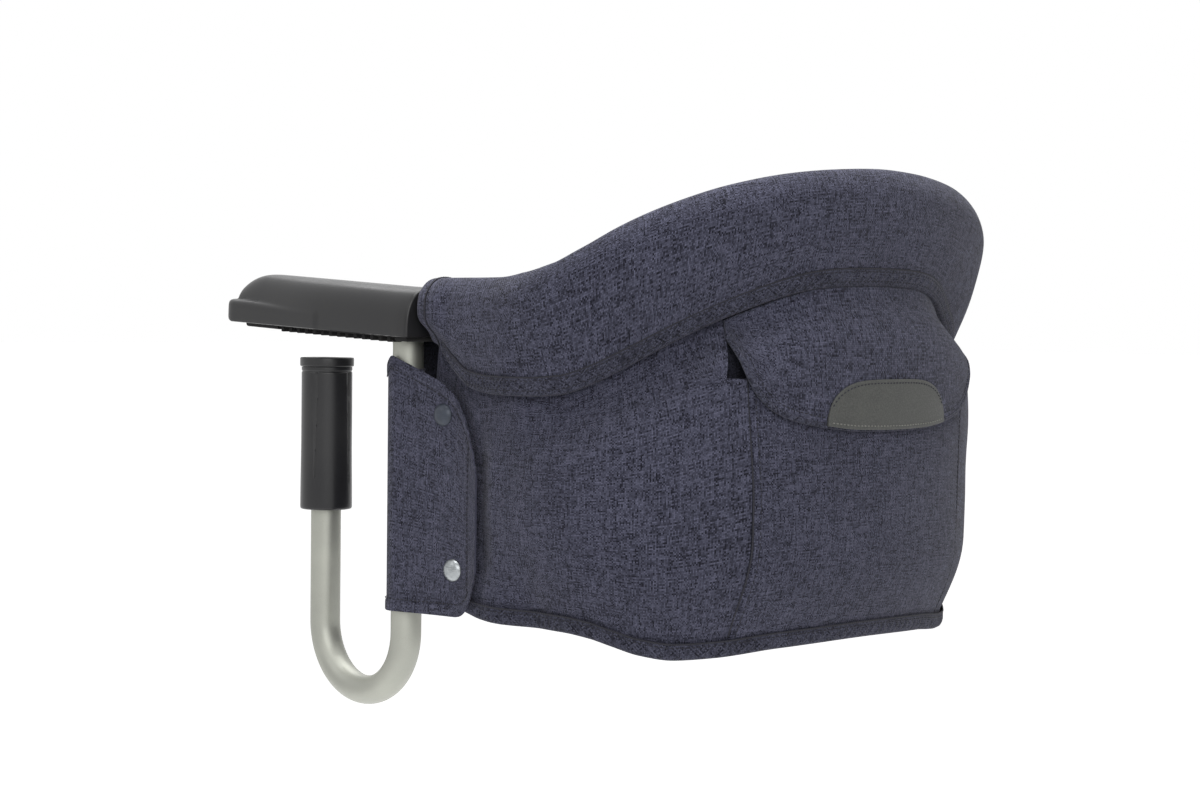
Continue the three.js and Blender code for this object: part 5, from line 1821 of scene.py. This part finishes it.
@dataclass
class PocketFlap:
    """The pocket's padded flap with its bound edge, bare leather patch and closure strips."""

    stitches: StitchTree
    half: float = 0.406
    thickness: float = 2.2
    patch_half: float = 0.189
    patch_top: float = -19.5
    patch_out: float = 6.5
    seam_in: float = 3.4
    seam_drop: float = 1.8
    stand_out: float = 8.0
    puff: float = 0.9
    patch_thickness: float = 1.3

    def top(self, w: Array) -> Array:
        """Height of the flap's seam below the rim."""
        return SEAT.rim_low(w) - self.seam_drop

    def skin(self, w: Array, z: Array) -> Array:
        """Outward offset of the flap's face, drawn in towards its seam."""
        drop = self.top(w) - z
        leant = SEAT.lean(w) * (1 - smooth(0.0, 26.0, drop))
        return -self.seam_in + self.stand_out * smooth(0.0, 36.0, drop) - leant

    def stations(self) -> Array:
        """Places across the flap, closer at its rounded ends."""
        return self.half * rise(np.linspace(-1, 1, 150))

    def point(self, w: Array, v: Array, depth: float) -> Array:
        """Points of the flap's face or below it."""
        low, top = SEAT.flap_low(w), self.top(w)
        puff = self.puff * np.sin(np.clip(v, 0, 1) * math.pi) * (1 - (np.abs(w) / 0.42) ** 4)
        z = low + (top - low) * v
        return SEAT.body.point(w, self.skin(w, z) + puff - depth, z)

    def edge(self, inset: float, raise_by: float) -> Array:
        """A line along the flap's free edge.

        Args:
            inset: Distance in from the edge.
            raise_by: Distance out from the flap's face.

        Returns:
            Points of the line.
        """
        w = self.stations()
        line = self.point(w, np.zeros(w.shape), -raise_by)
        inner = self.point(w * 0.97, np.full(w.shape, 0.25), -raise_by)
        tangent = unit(np.gradient(line, axis=0))
        inward = inner - line
        inward = unit(inward - tangent * (inward * tangent).sum(-1, keepdims=True))
        return line + inward * inset

    def normals(self) -> Array:
        """Outward directions along the flap's free edge."""
        w = self.stations()
        return unit(SEAT.body.point(w, np.full(w.shape, 10.0), 0 * w) - SEAT.body.point(w, 0 * w, 0 * w))

    def patch_line(self, w: Array, share: Array) -> tuple[Array, Array]:
        """Lower and upper height of the patch, drawn in by a share."""
        low = SEAT.flap_low(w) + 0.6
        reach = np.clip(np.abs(w) / self.patch_half, 0, 1)
        top = low + 0.4 + (self.patch_top - low) * (1 - reach ** 4.2) ** 0.5
        return low + share, np.maximum(top - share, low + share)

    def patch_net(self, depth: float) -> Array:
        """The patch's face or a face below it."""
        w = self.patch_half * rise(np.linspace(-1, 1, 90))
        low, top = self.patch_line(w, np.zeros(w.shape))
        v = np.linspace(0, 1, 22)[None, :]
        z = low[:, None] + (top - low)[:, None] * v
        return SEAT.body.point(w[:, None], self.patch_out - depth + 0 * z, z)

    @staticmethod
    def strip(name: str, inside: float, outside: float) -> Piece:
        """One closure strip behind the flap."""
        w = np.linspace(-0.12, 0.12, 40)[:, None]
        z = np.linspace(-40, -24, 12)[None, :]
        faces = (SEAT.body.point(w, offset + 0 * z, z) for offset in (outside, inside))
        return MeshDraft.sheet(name, *faces, HOOK_TAPE, 40.0)

    def dress(self) -> None:
        """Builds the flap's pieces."""
        w, v = self.stations()[:, None], np.linspace(0, 1, 40)[None, :]
        net = self.point(w, v, 0.0)
        flap = MeshDraft.sheet("flap_cloth", net, self.point(w, v, self.thickness), FABRIC)
        Carry.flap(flap, FABRIC, "pocket_flap")
        Carry.cloth(flap, net, "hung", "rim_edge_tape")
        edge = sweep_rings(self.edge(0.6, -1.1), self.normals(), oval(1.7, 1.6))
        Carry.flap(MeshDraft.piece("flap_edge_tape", edge, TAPE, 70.0), TAPE)
        hem = [self.edge(4.6, 0.15)]
        Carry.flap(self.stitches.sew("flap_stitches", hem, DARK_THREAD, Thread.SEAM), DARK_THREAD)
        faces = (self.patch_net(depth) for depth in (0.0, self.patch_thickness))
        Carry.body(MeshDraft.sheet("bare_patch", *faces, LEATHER, 50.0), LEATHER, "flap", "flap_patch")
        w = self.patch_half * 0.93 * rise(np.linspace(-1, 1, 120))
        low, top = self.patch_line(w, np.full(w.shape, 1.6))
        for name, z, thread in (("patch_stitches", low, PALE_THREAD),
                                ("patch_top_stitches", top, DARK_THREAD)):
            row = [SEAT.body.point(w, np.full(w.shape, self.patch_out + 0.1), z)]
            Carry.body(self.stitches.sew(name, row, thread, Thread.PATCH), thread, "flap")
        Carry.body(self.strip("loop_tape", 0.3, 0.9), HOOK_TAPE, "seat", "loop_strip")
        Carry.body(self.strip("hook_tape", 1.3, 2.1), HOOK_TAPE, "flap", "hook_strip")


@dataclass
class LegWrap:
    """The cloth wrapped round one rear leg and closed on the seat's side by two snaps."""

    side: Side
    stitches: StitchTree
    wrap_r: float = 11.5
    thickness: float = 1.3
    rear: float = 62.0
    rear_x: float = 173.2
    hem: float = 6.0
    seam_in: float = 0.6
    sleeve_r: float = 9.95
    sleeve_bore: float = 9.25
    sleeve_low: float = -155.0
    sleeve_top: float = -16.0
    tongue_length: float = 51.0
    snaps: tuple[tuple[float, float, str, Finish], ...] = (
        (36.0, -42.0, "snap_upper", DARK_SNAP), (44.0, -130.0, "snap_lower", PALE_SNAP))

    def path(self) -> Array:
        """The wrap's outer line seen from above, from the leg's front to its rear edge."""
        turn = np.radians(np.linspace(-88, 6, 40))
        arc = np.stack([LEG_X + self.wrap_r * np.cos(turn), self.wrap_r * np.sin(turn)], -1)
        start_x, start_y = arc[-1]
        y = np.linspace(start_y + 1.2, self.rear, 70)
        x = self.rear_x + (start_x - self.rear_x) * ((self.rear - y) / (self.rear - start_y)) ** 1.6
        return np.concatenate([arc, np.stack([x, y], -1)])

    @staticmethod
    def top(y: Array) -> Array:
        """Height of the upper edge."""
        corner = 40.0 * (np.maximum(0.0, y - 30.0) / 32.0) ** 3.2
        return -9.5 - 0.42 * y - corner - 9.0 * smooth(0.5, -9.0, y)

    @staticmethod
    def low(y: Array) -> Array:
        """Height of the lower edge."""
        return -156.0 + 26.0 * (np.maximum(0.0, y - 44.0) / 18.0) ** 3

    def edges(self, path: Array) -> tuple[Array, Array]:
        """Heights of the lower and upper edge along the path, as columns."""
        return self.low(path[:, 1])[:, None], self.top(path[:, 1])[:, None]

    def face(self, path: Array, z: Array, depth: float) -> Array:
        """Points of the wrap's face, or a face below it.

        Args:
            path: The line from above.
            z: Heights as path points, steps.
            depth: Distance below the face.

        Returns:
            Points as path points, steps, 3.
        """
        along = unit(np.gradient(path, axis=0))
        out = np.stack([along[:, 1], -along[:, 0]], -1)
        run = run_of(path)
        wave = ripple(run[:, None], z, 31, 0.35) * smooth(20, 45, run)[:, None]
        low, top = self.edges(path)
        edge = np.minimum(np.minimum(top - z, z - low), (run[-1] - run)[:, None])
        fold = 0.8 * (1 - smooth(self.hem - 1.0, self.hem + 0.4, edge))
        place = path[:, None, :] + out[:, None, :] * (wave + fold - depth)[..., None]
        return spots(self.side.value * place[..., 0], place[..., 1], z)

    def wrap_face(self, depth: float) -> Array:
        """The whole wrap's face, or a face below it, closely divided along its hems."""
        path = self.path()
        low, top = self.edges(path)
        v = np.concatenate([np.linspace(0, 0.1, 14), np.linspace(0.115, 0.885, 40),
                            np.linspace(0.9, 1, 14)])[None, :]
        return self.face(path, low + (top - low) * v, depth)

    def sleeve_face(self, radius: float) -> Array:
        """The cloth tube on the leg itself, at a radius."""
        f = np.linspace(-math.pi, math.pi, 49)[:, None]
        v = np.linspace(0, 1, 30)[None, :]
        x, y = self.side.value * (LEG_X + radius * np.cos(f)), radius * np.sin(f)
        z = self.sleeve_low + (self.sleeve_top - 0.1 * y - self.sleeve_low) * v
        return spots(x, y, z)

    def tongue_face(self, depth: float) -> Array:
        """The sleeve's flat tongue, tucked behind the side panel's front edge."""
        t = np.linspace(0, 1, 20)[:, None]
        v = np.linspace(0, 1, 24)[None, :]
        low, high = -46.0 + 20.0 * smooth(0.3, 1.0, t), -0.9 - 5.0 * smooth(0.75, 1.0, t)
        z = low + (high - low) * v
        x = LEG_X - 11.0 - 4.0 * smooth(0.0, 0.35, t) + depth + 0.4 * np.sin(v * 5.0) * t
        return spots(self.side.value * x, -1.0 + self.tongue_length * t, z)

    def build_snap(self, y: float, z: float, name: str, finish: Finish) -> Piece:
        """One domed snap button on the wrap."""
        dome = rounded_profile([(0.3, 3.1), (2.4, 2.9), (4.3, 2.25), (5.7, 1.2), (6.5, 0.1), (6.5, -0.5),
                                (0.3, -0.5)], 1.2)
        across, up, out = np.moveaxis(turned_rings(dome, 56), -1, 0)
        path = self.path()
        i = int(np.argmin(np.abs(path[:, 1] - y)))
        tilt = math.atan2(*(path[i + 2] - path[i - 2]))
        c, s = math.cos(tilt), math.sin(tilt)
        x = path[i, 0] + 0.45 + out * c + across * s
        net = spots(self.side.value * x, y + across * c - out * s, z + up)
        return MeshDraft.turned(f"{self.side.label}_{name}_button", net, finish, 45.0)

    def sewn_lines(self) -> list[Array]:
        """Lines along the wrap's lower, upper and rear hems."""
        path = self.path()
        low, top = self.edges(path)
        bottom, top = low + self.hem + self.seam_in, top - self.hem - self.seam_in
        keep = path[:, 1] < self.rear - self.hem
        lines = [self.face(path, z, -0.6)[keep, 0] for z in (bottom, top)]
        last = np.argmin(np.abs(path[:, 1] - (self.rear - self.hem - self.seam_in)))
        tall = np.linspace(float(bottom[last, 0]), float(top[last, 0]), 60)[None, :]
        lines.append(self.face(path, np.broadcast_to(tall, (len(path), 60)), -0.55)[last])
        return lines

    def dress(self) -> None:
        """Builds the wrap, sleeve, tongue, stitches and snaps."""
        side = self.side.label
        wrap_name, sleeve_name = f"{side}_leg_wrap", f"{side}_leg_sleeve_cloth"
        net = self.wrap_face(0.0)
        wrap = MeshDraft.sheet(wrap_name, net, self.wrap_face(self.thickness), FABRIC)
        Carry.bucket(wrap, FABRIC, f"{side}_side_flap")
        Carry.cloth(wrap, net, "stretched", sleeve_name)
        net = self.sleeve_face(self.sleeve_r)
        rings = sheet_rings(net, self.sleeve_face(self.sleeve_bore))[:-1]
        sleeve = MeshDraft.looped(sleeve_name, rings, FABRIC, 60.0)
        Carry.body(sleeve, FABRIC, f"{side}_clamp", f"{side}_leg_sleeve")
        Carry.cloth(sleeve, net, "stretched", f"{side}_bent_tube")
        # The tongue takes the darker lining cloth: painted shade for the gap between leg and rim.
        net = self.tongue_face(0.0)
        tongue = MeshDraft.sheet(f"{side}_leg_tongue", net, self.tongue_face(-1.2), PAINTED_SHADE_LINING)
        Carry.body(tongue, PAINTED_SHADE_LINING, f"{side}_clamp")
        Carry.cloth(tongue, net, "hung", sleeve_name)
        sewn = self.stitches.sew(f"{side}_wrap_stitches", self.sewn_lines(), DARK_THREAD, Thread.SEAM)
        Carry.bucket(sewn, DARK_THREAD)
        for y, z, name, finish in self.snaps:
            Carry.stud(self.build_snap(y, z, name, finish), finish, z, f"{side}_{name}")


@dataclass
class SeatBase:
    """The seat's floor: cloth underside, cushion with piped edge, belts and buckle."""

    inset: float = 16.0
    drawn_in: float = 0.75
    front: float = 56.0
    cushion_low: float = -153.2
    cushion_top: float = -130.0
    cushion_voxel: float = 0.005
    under_low: float = -160.0
    under_top: float = -158.2
    under_sag: float = 0.9
    belt_half: float = 12.5
    belt_thick: float = 1.6
    buckle_y: float = 108.0
    buckle_half: tuple[float, float] = (24.0, 16.0)

    def outline(self, inset: float, front: float, count: int = 150) -> Array:
        """The D-shaped outline from above as x and y, closed, with rounded front corners.

        Args:
            inset: Distance inside the seat's plan.
            front: Where the front edge lies.
            count: Points round it.

        Returns:
            Points as x and y.
        """
        last = 2 - front / SEAT.body.side_end
        w = np.linspace(-last, last, 400)
        arc = SEAT.body.point(w, -inset - self.drawn_in * SEAT.tuck_at(w), np.zeros(400))[:, :2]
        line = np.concatenate([arc, arc[:1]])
        run = run_of(line)
        middle = run[-1] - np.linalg.norm(arc[-1] - arc[0]) / 2
        even = np.linspace(0, run[-1], count, endpoint=False) + middle
        p = resampled(line, run, np.mod(even, run[-1]))
        for _ in range(5):
            p = 0.5 * p + 0.25 * (np.roll(p, 1, 0) + np.roll(p, -1, 0))
        return p

    def ring(self, inset: float, z: float, count: int = 150) -> Array:
        """The outline at a height, drawn in from the seat base's own edge."""
        p = self.outline(self.inset + inset, self.front + inset, count)
        return spots(p[:, 0], p[:, 1], z)

    def build_cushion(self) -> Piece:
        """The seat cushion: remeshed, swollen and sewn flat along its edge."""
        low, top = self.cushion_low, self.cushion_top
        levels = ((5.5, low + 0.6), (2.6, low + 1.4), (1.8, low + 6), (2.4, low + 12), (4.5, top - 6),
                  (9, top - 3.2), (17, top - 2.4), (40, top - 2.0))
        rings = np.stack([self.ring(inset, z) for inset, z in levels])
        obj = MeshDraft.turned("seat_pad", rings, FABRIC, 70.0)
        even = obj.modifiers.new("even", "REMESH")
        even.mode = "VOXEL"
        even.voxel_size = self.cushion_voxel
        obj.name = "seat_pad_coarse"
        obj = converted(obj, "seat_pad")
        co = np.array([v.co for v in obj.data.vertices]) / MM
        Padding.swell(obj, co[:, 2] < low + 3.0, 4.0)
        obj = refined(obj)
        mesh = obj.data
        co = np.array([v.co for v in mesh.vertices], float)
        co[:, 2] = np.maximum(co[:, 2], (low + 0.3) * MM)
        mesh.vertices.foreach_set("co", co.astype(np.float32).ravel())
        layer = mesh.uv_layers.new(name="UVMap")
        loops = np.zeros(len(mesh.loops), np.int32)
        mesh.loops.foreach_get("vertex_index", loops)
        uv = co[loops][:, :2] + [0.3, 0.1] + co[loops][:, 2:] * [0.7, 0.7]
        layer.data.foreach_set("uv", uv.astype(np.float32).ravel())
        mesh.polygons.foreach_set("use_smooth", [True] * len(mesh.polygons))
        mesh.materials.clear()
        mesh.materials.append(FABRIC.material)
        return obj

    def build_piping(self) -> Piece:
        """The piped seam round the cushion."""
        path = self.ring(1.2, self.cushion_low + 8.5, 220)
        normal = unit(path - path.mean(0))
        normal[:, 2] = 0
        closed = (np.concatenate([line[-1:], line, line[:1]]) for line in (path, normal))
        rings = sweep_rings(*closed, oval(1.5, 1.5, 10))[1:-1]
        return MeshDraft.looped("seat_pad_piping", rings, TAPE, 80.0)

    def build_underside(self) -> tuple[Piece, float]:
        """The cloth under the board, with its area."""
        edge = self.ring(-2.6, self.under_low)
        centre = edge.mean(0)
        share = np.linspace(1.0, 0.04, 26)
        under = centre + (edge - centre) * share[:, None, None]
        upper = under.copy()
        under[..., 2] = self.under_low - self.under_sag * (1 - share[:, None] ** 2)
        upper[..., 2] = self.under_top
        x, y = edge[:, 0], edge[:, 1]
        area = 0.5 * abs(float(np.sum(x * np.roll(y, -1) - y * np.roll(x, -1)))) * MM * MM
        rings = np.concatenate([under[::-1], upper])
        return MeshDraft.turned("underside_cloth", rings, FABRIC, 60.0), area

    def belt(self, name: str, line: Array, across: Array) -> Piece:
        """One flat belt.

        Args:
            name: The piece's name.
            line: Points of its middle line, on its lower face.
            across: The direction of its width.

        Returns:
            The belt.
        """
        run = run_of(line)
        path = resampled(line, run, np.linspace(0, run[-1], 60))
        path[2:-2] = (path[:-4] + path[1:-3] + path[2:-2] + path[3:-1] + path[4:]) / 5
        normal = unit(np.cross(unit(np.gradient(path, axis=0)), across))
        normal *= np.sign(normal[:, 2:])
        c = np.linspace(-1, 1, 15)
        flat = path[:, None] + across * (c * self.belt_half)[None, :, None]
        lip = 0.25 * np.abs(c) ** 8
        outer = flat + normal[:, None] * (self.belt_thick + lip)[None, :, None]
        return MeshDraft.sheet(name, outer, flat, WEBBING, 50.0)

    def build_buckle(self) -> Piece:
        """The belt buckle: a rounded block with a raised press plate and side notches."""
        foot = self.cushion_top + 0.5
        levels = ((2.0, 0.0), (0.7, 0.4), (0.1, 1.2), (0.0, 2.2), (0.0, 8.6), (0.3, 10.0), (1.2, 11.4),
                  (2.6, 12.2), (4.4, 12.4), (5.0, 12.1), (5.8, 12.1), (6.3, 12.6), (7.6, 12.9), (9.5, 13.0))
        c, s = squared(np.linspace(0, 2 * math.pi, 96, endpoint=False), 0.42)
        rings = []
        for inset, z in levels:
            x, y = (self.buckle_half[0] - inset) * c, (self.buckle_half[1] - inset) * s
            live = (np.abs(y) > 8) * (1.0 if 1 < z < 11 else 0.0)
            y = y - np.sign(y) * 1.6 * np.exp(-((np.abs(x) - 11.0) / 2.2) ** 2) * live
            rings.append(spots(x, self.buckle_y + y, foot + z))
        return MeshDraft.turned("press_buckle", np.stack(rings), PLASTIC, 36.0)

    def dress(self) -> None:
        """Builds the base's pieces and sets them on it."""
        cushion = Carry.body(self.build_cushion(), FABRIC, "seat_base", "seat_cushion")
        Carry.body(self.build_piping(), TAPE, "seat_base")
        under, area = self.build_underside()
        Carry.body(under, FABRIC, "seat_base", "base_panel")
        z = self.cushion_top + 0.35
        line = np.array([[24.6, 6.0], [32, 5.0], [42, 1.4], [50, 0.0], [90, 0.0], [126, 0.0]])
        for side in Side:
            points = spots(side.value * line[:, 0], self.buckle_y, z + line[:, 1])
            belt = self.belt(f"{side.label}_lap_belt", points, np.array([0.0, 1.0, 0.0]))
            Carry.body(belt, WEBBING, "seat_base", f"{side.label}_waist_belt")
        line = np.array([[74, 0.0], [80, 2.0], [86, 5.0], [91.5, 6.0]])
        points = spots(0.0, line[:, 0], z + line[:, 1])
        strap = self.belt("middle_strap", points, np.array([1.0, 0.0, 0.0]))
        Carry.body(strap, WEBBING, "seat_base", "crotch_strap")
        Carry.body(self.build_buckle(), PLASTIC, "seat_base", "belt_buckle")


class KeptNodes:
    """CAD nodes that keep their own shape and only get a finish."""

    FINISHES = {TUBE: ("back_hoop",), BOARD: ("seat_board",),
                STEEL: tuple(f"{s.label}_{n}" for s in Side for n in (
                    "hinge_knuckle", "hinge_pin", "leg_nut", "thread_rod", "arm_screw_rear",
                    "arm_screw_front"))}

    def dress(self) -> None:
        """Paints each kept node."""
        for finish, nodes in self.FINISHES.items():
            for name in nodes:
                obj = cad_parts[name]
                obj.data.materials.clear()
                obj.data.materials.append(finish.material)
                log.info("kept node %s", name)


@dataclass(frozen=True)
class Studio:
    """Camera at the photograph's angle, plain floor and soft light."""

    place: tuple[float, float, float] = (1.065, 1.071, 0.0186)
    azimuth: float = 135.6
    elevation: float = 2.15
    roll: float = 0.66
    lens: float = 72.0
    floor_z: float = -0.75
    floor_half: float = 40.0
    floor_glow: float = 0.86
    sky_level: float = 0.19
    target: tuple[float, float, float] = (0.05, 0.03, -0.05)
    lamps: tuple[tuple[str, tuple[float, float, float], float, float], ...] = (
        ("key_light", (1.5, -0.35, 0.95), 0.8, 2.5), ("fill_light", (1.2, 1.5, 0.75), 1.2, 14.0),
        ("top_light", (0.1, 0.1, 1.7), 1.2, 24.0), ("back_light", (-0.5, -0.75, 1.4), 1.2, 12.0))

    @staticmethod
    def aim(obj: Piece, x: Array, y: Array, z: Array, place: Sequence[float]) -> None:
        """Sets an object at a place with its axes along x, y and z."""
        rows = np.stack([x, y, z, np.array(place)], -1).tolist()
        obj.matrix_world = Matrix([*rows, [0.0, 0.0, 0.0, 1.0]])

    def camera(self) -> None:
        """Sets the camera."""
        a, e, r = (math.radians(x) for x in (self.azimuth, self.elevation, self.roll))
        back = np.array([math.sin(a) * math.cos(e), -math.cos(a) * math.cos(e), math.sin(e)])
        right = np.array([math.cos(a), math.sin(a), 0.0])
        up = np.cross(back, right)
        across = math.cos(r) * right + math.sin(r) * up
        upward = -math.sin(r) * right + math.cos(r) * up
        data = bpy.data.cameras.new("photo_camera")
        data.lens = self.lens
        data.sensor_width = 36.0
        data.clip_start = 0.01
        data.clip_end = 100.0
        obj = linked("photo_camera", data)
        self.aim(obj, across, upward, back, self.place)
        bpy.context.scene.camera = obj

    def lamp(self, name: str, place: Sequence[float], size: float, watts: float) -> None:
        """Sets one soft area lamp that faces the chair.

        Args:
            name: The lamp's name.
            place: Where it stands.
            size: Its width, in metres.
            watts: Its power.
        """
        data = bpy.data.lights.new(name, "AREA")
        data.shape = "SQUARE"
        data.size = size
        data.energy = watts
        z = unit(np.array(place) - np.array(self.target))
        x = unit(np.cross([0.0, 0.0, 1.0], z))
        self.aim(linked(name, data), x, np.cross(z, x), z, place)

    def floor(self) -> None:
        """Lays a plain pale floor a table's height below the origin."""
        mesh = bpy.data.meshes.new("studio_floor")
        corners = [(x * self.floor_half, y * self.floor_half, self.floor_z)
                   for x, y in ((-1, -1), (1, -1), (1, 1), (-1, 1))]
        mesh.from_pydata(corners, [], [(0, 1, 2, 3)])
        s = NodeSketch(bpy.data.materials.new("studio_floor_white"))
        s.shader.inputs["Base Color"].default_value = (0.93, 0.93, 0.93, 1.0)
        s.settle(Roughness=0.9, Specular_IOR_Level=0.1)
        strength = s.times(self.seen(s), self.floor_glow)
        glow = s.add("ShaderNodeEmission", {"Color": WHITE, "Strength": strength})
        both = s.add("ShaderNodeAddShader", {0: s.shader.outputs[0], 1: glow.outputs[0]})
        s.put(s.tree.nodes["Material Output"].inputs["Surface"], both.outputs[0])
        mesh.materials.append(s.owner)
        linked("studio_floor", mesh)

    @staticmethod
    def seen(s: NodeSketch) -> Socket:
        """1 for rays from the camera and for reflections, 0 for light."""
        path = s.add("ShaderNodeLightPath")
        seen = s.math("MAXIMUM", path.outputs["Is Camera Ray"], path.outputs["Is Glossy Ray"])
        return s.math("MAXIMUM", seen, path.outputs["Is Transmission Ray"])

    def world(self) -> None:
        """Sets a world that is seen as white and lights at a lower level."""
        s = NodeSketch(bpy.data.worlds.new("studio_world"))
        sky = s.tree.nodes["Background"]
        sky.inputs["Color"].default_value = WHITE
        s.put(sky.inputs["Strength"], s.ranged(self.seen(s), 0.0, 1.0, self.sky_level, 1.0))
        bpy.context.scene.world = s.owner

    def set_up(self) -> None:
        """Makes camera, floor, world and lamps."""
        bpy.context.scene.view_settings.view_transform = "Standard"
        self.camera()
        self.floor()
        self.world()
        for lamp in self.lamps:
            self.lamp(*lamp)


def main() -> None:
    """Builds the studio and every sub-assembly in order."""
    logging.basicConfig(level=logging.INFO, format="%(name)s: %(message)s")
    Studio().set_up()
    stitches, ribs = StitchTree(), RibTree()
    for side in Side:
        Arm(side, ribs).dress()
        ScrewClamp(side).dress()
        HingeCollar(side).dress()
    Rim(stitches).dress()
    Bucket(stitches).dress()
    PocketFlap(stitches).dress()
    for side in Side:
        LegWrap(side, stitches).dress()
    SeatBase().dress()
    KeptNodes().dress()


if __name__ == "__main__":
    main()
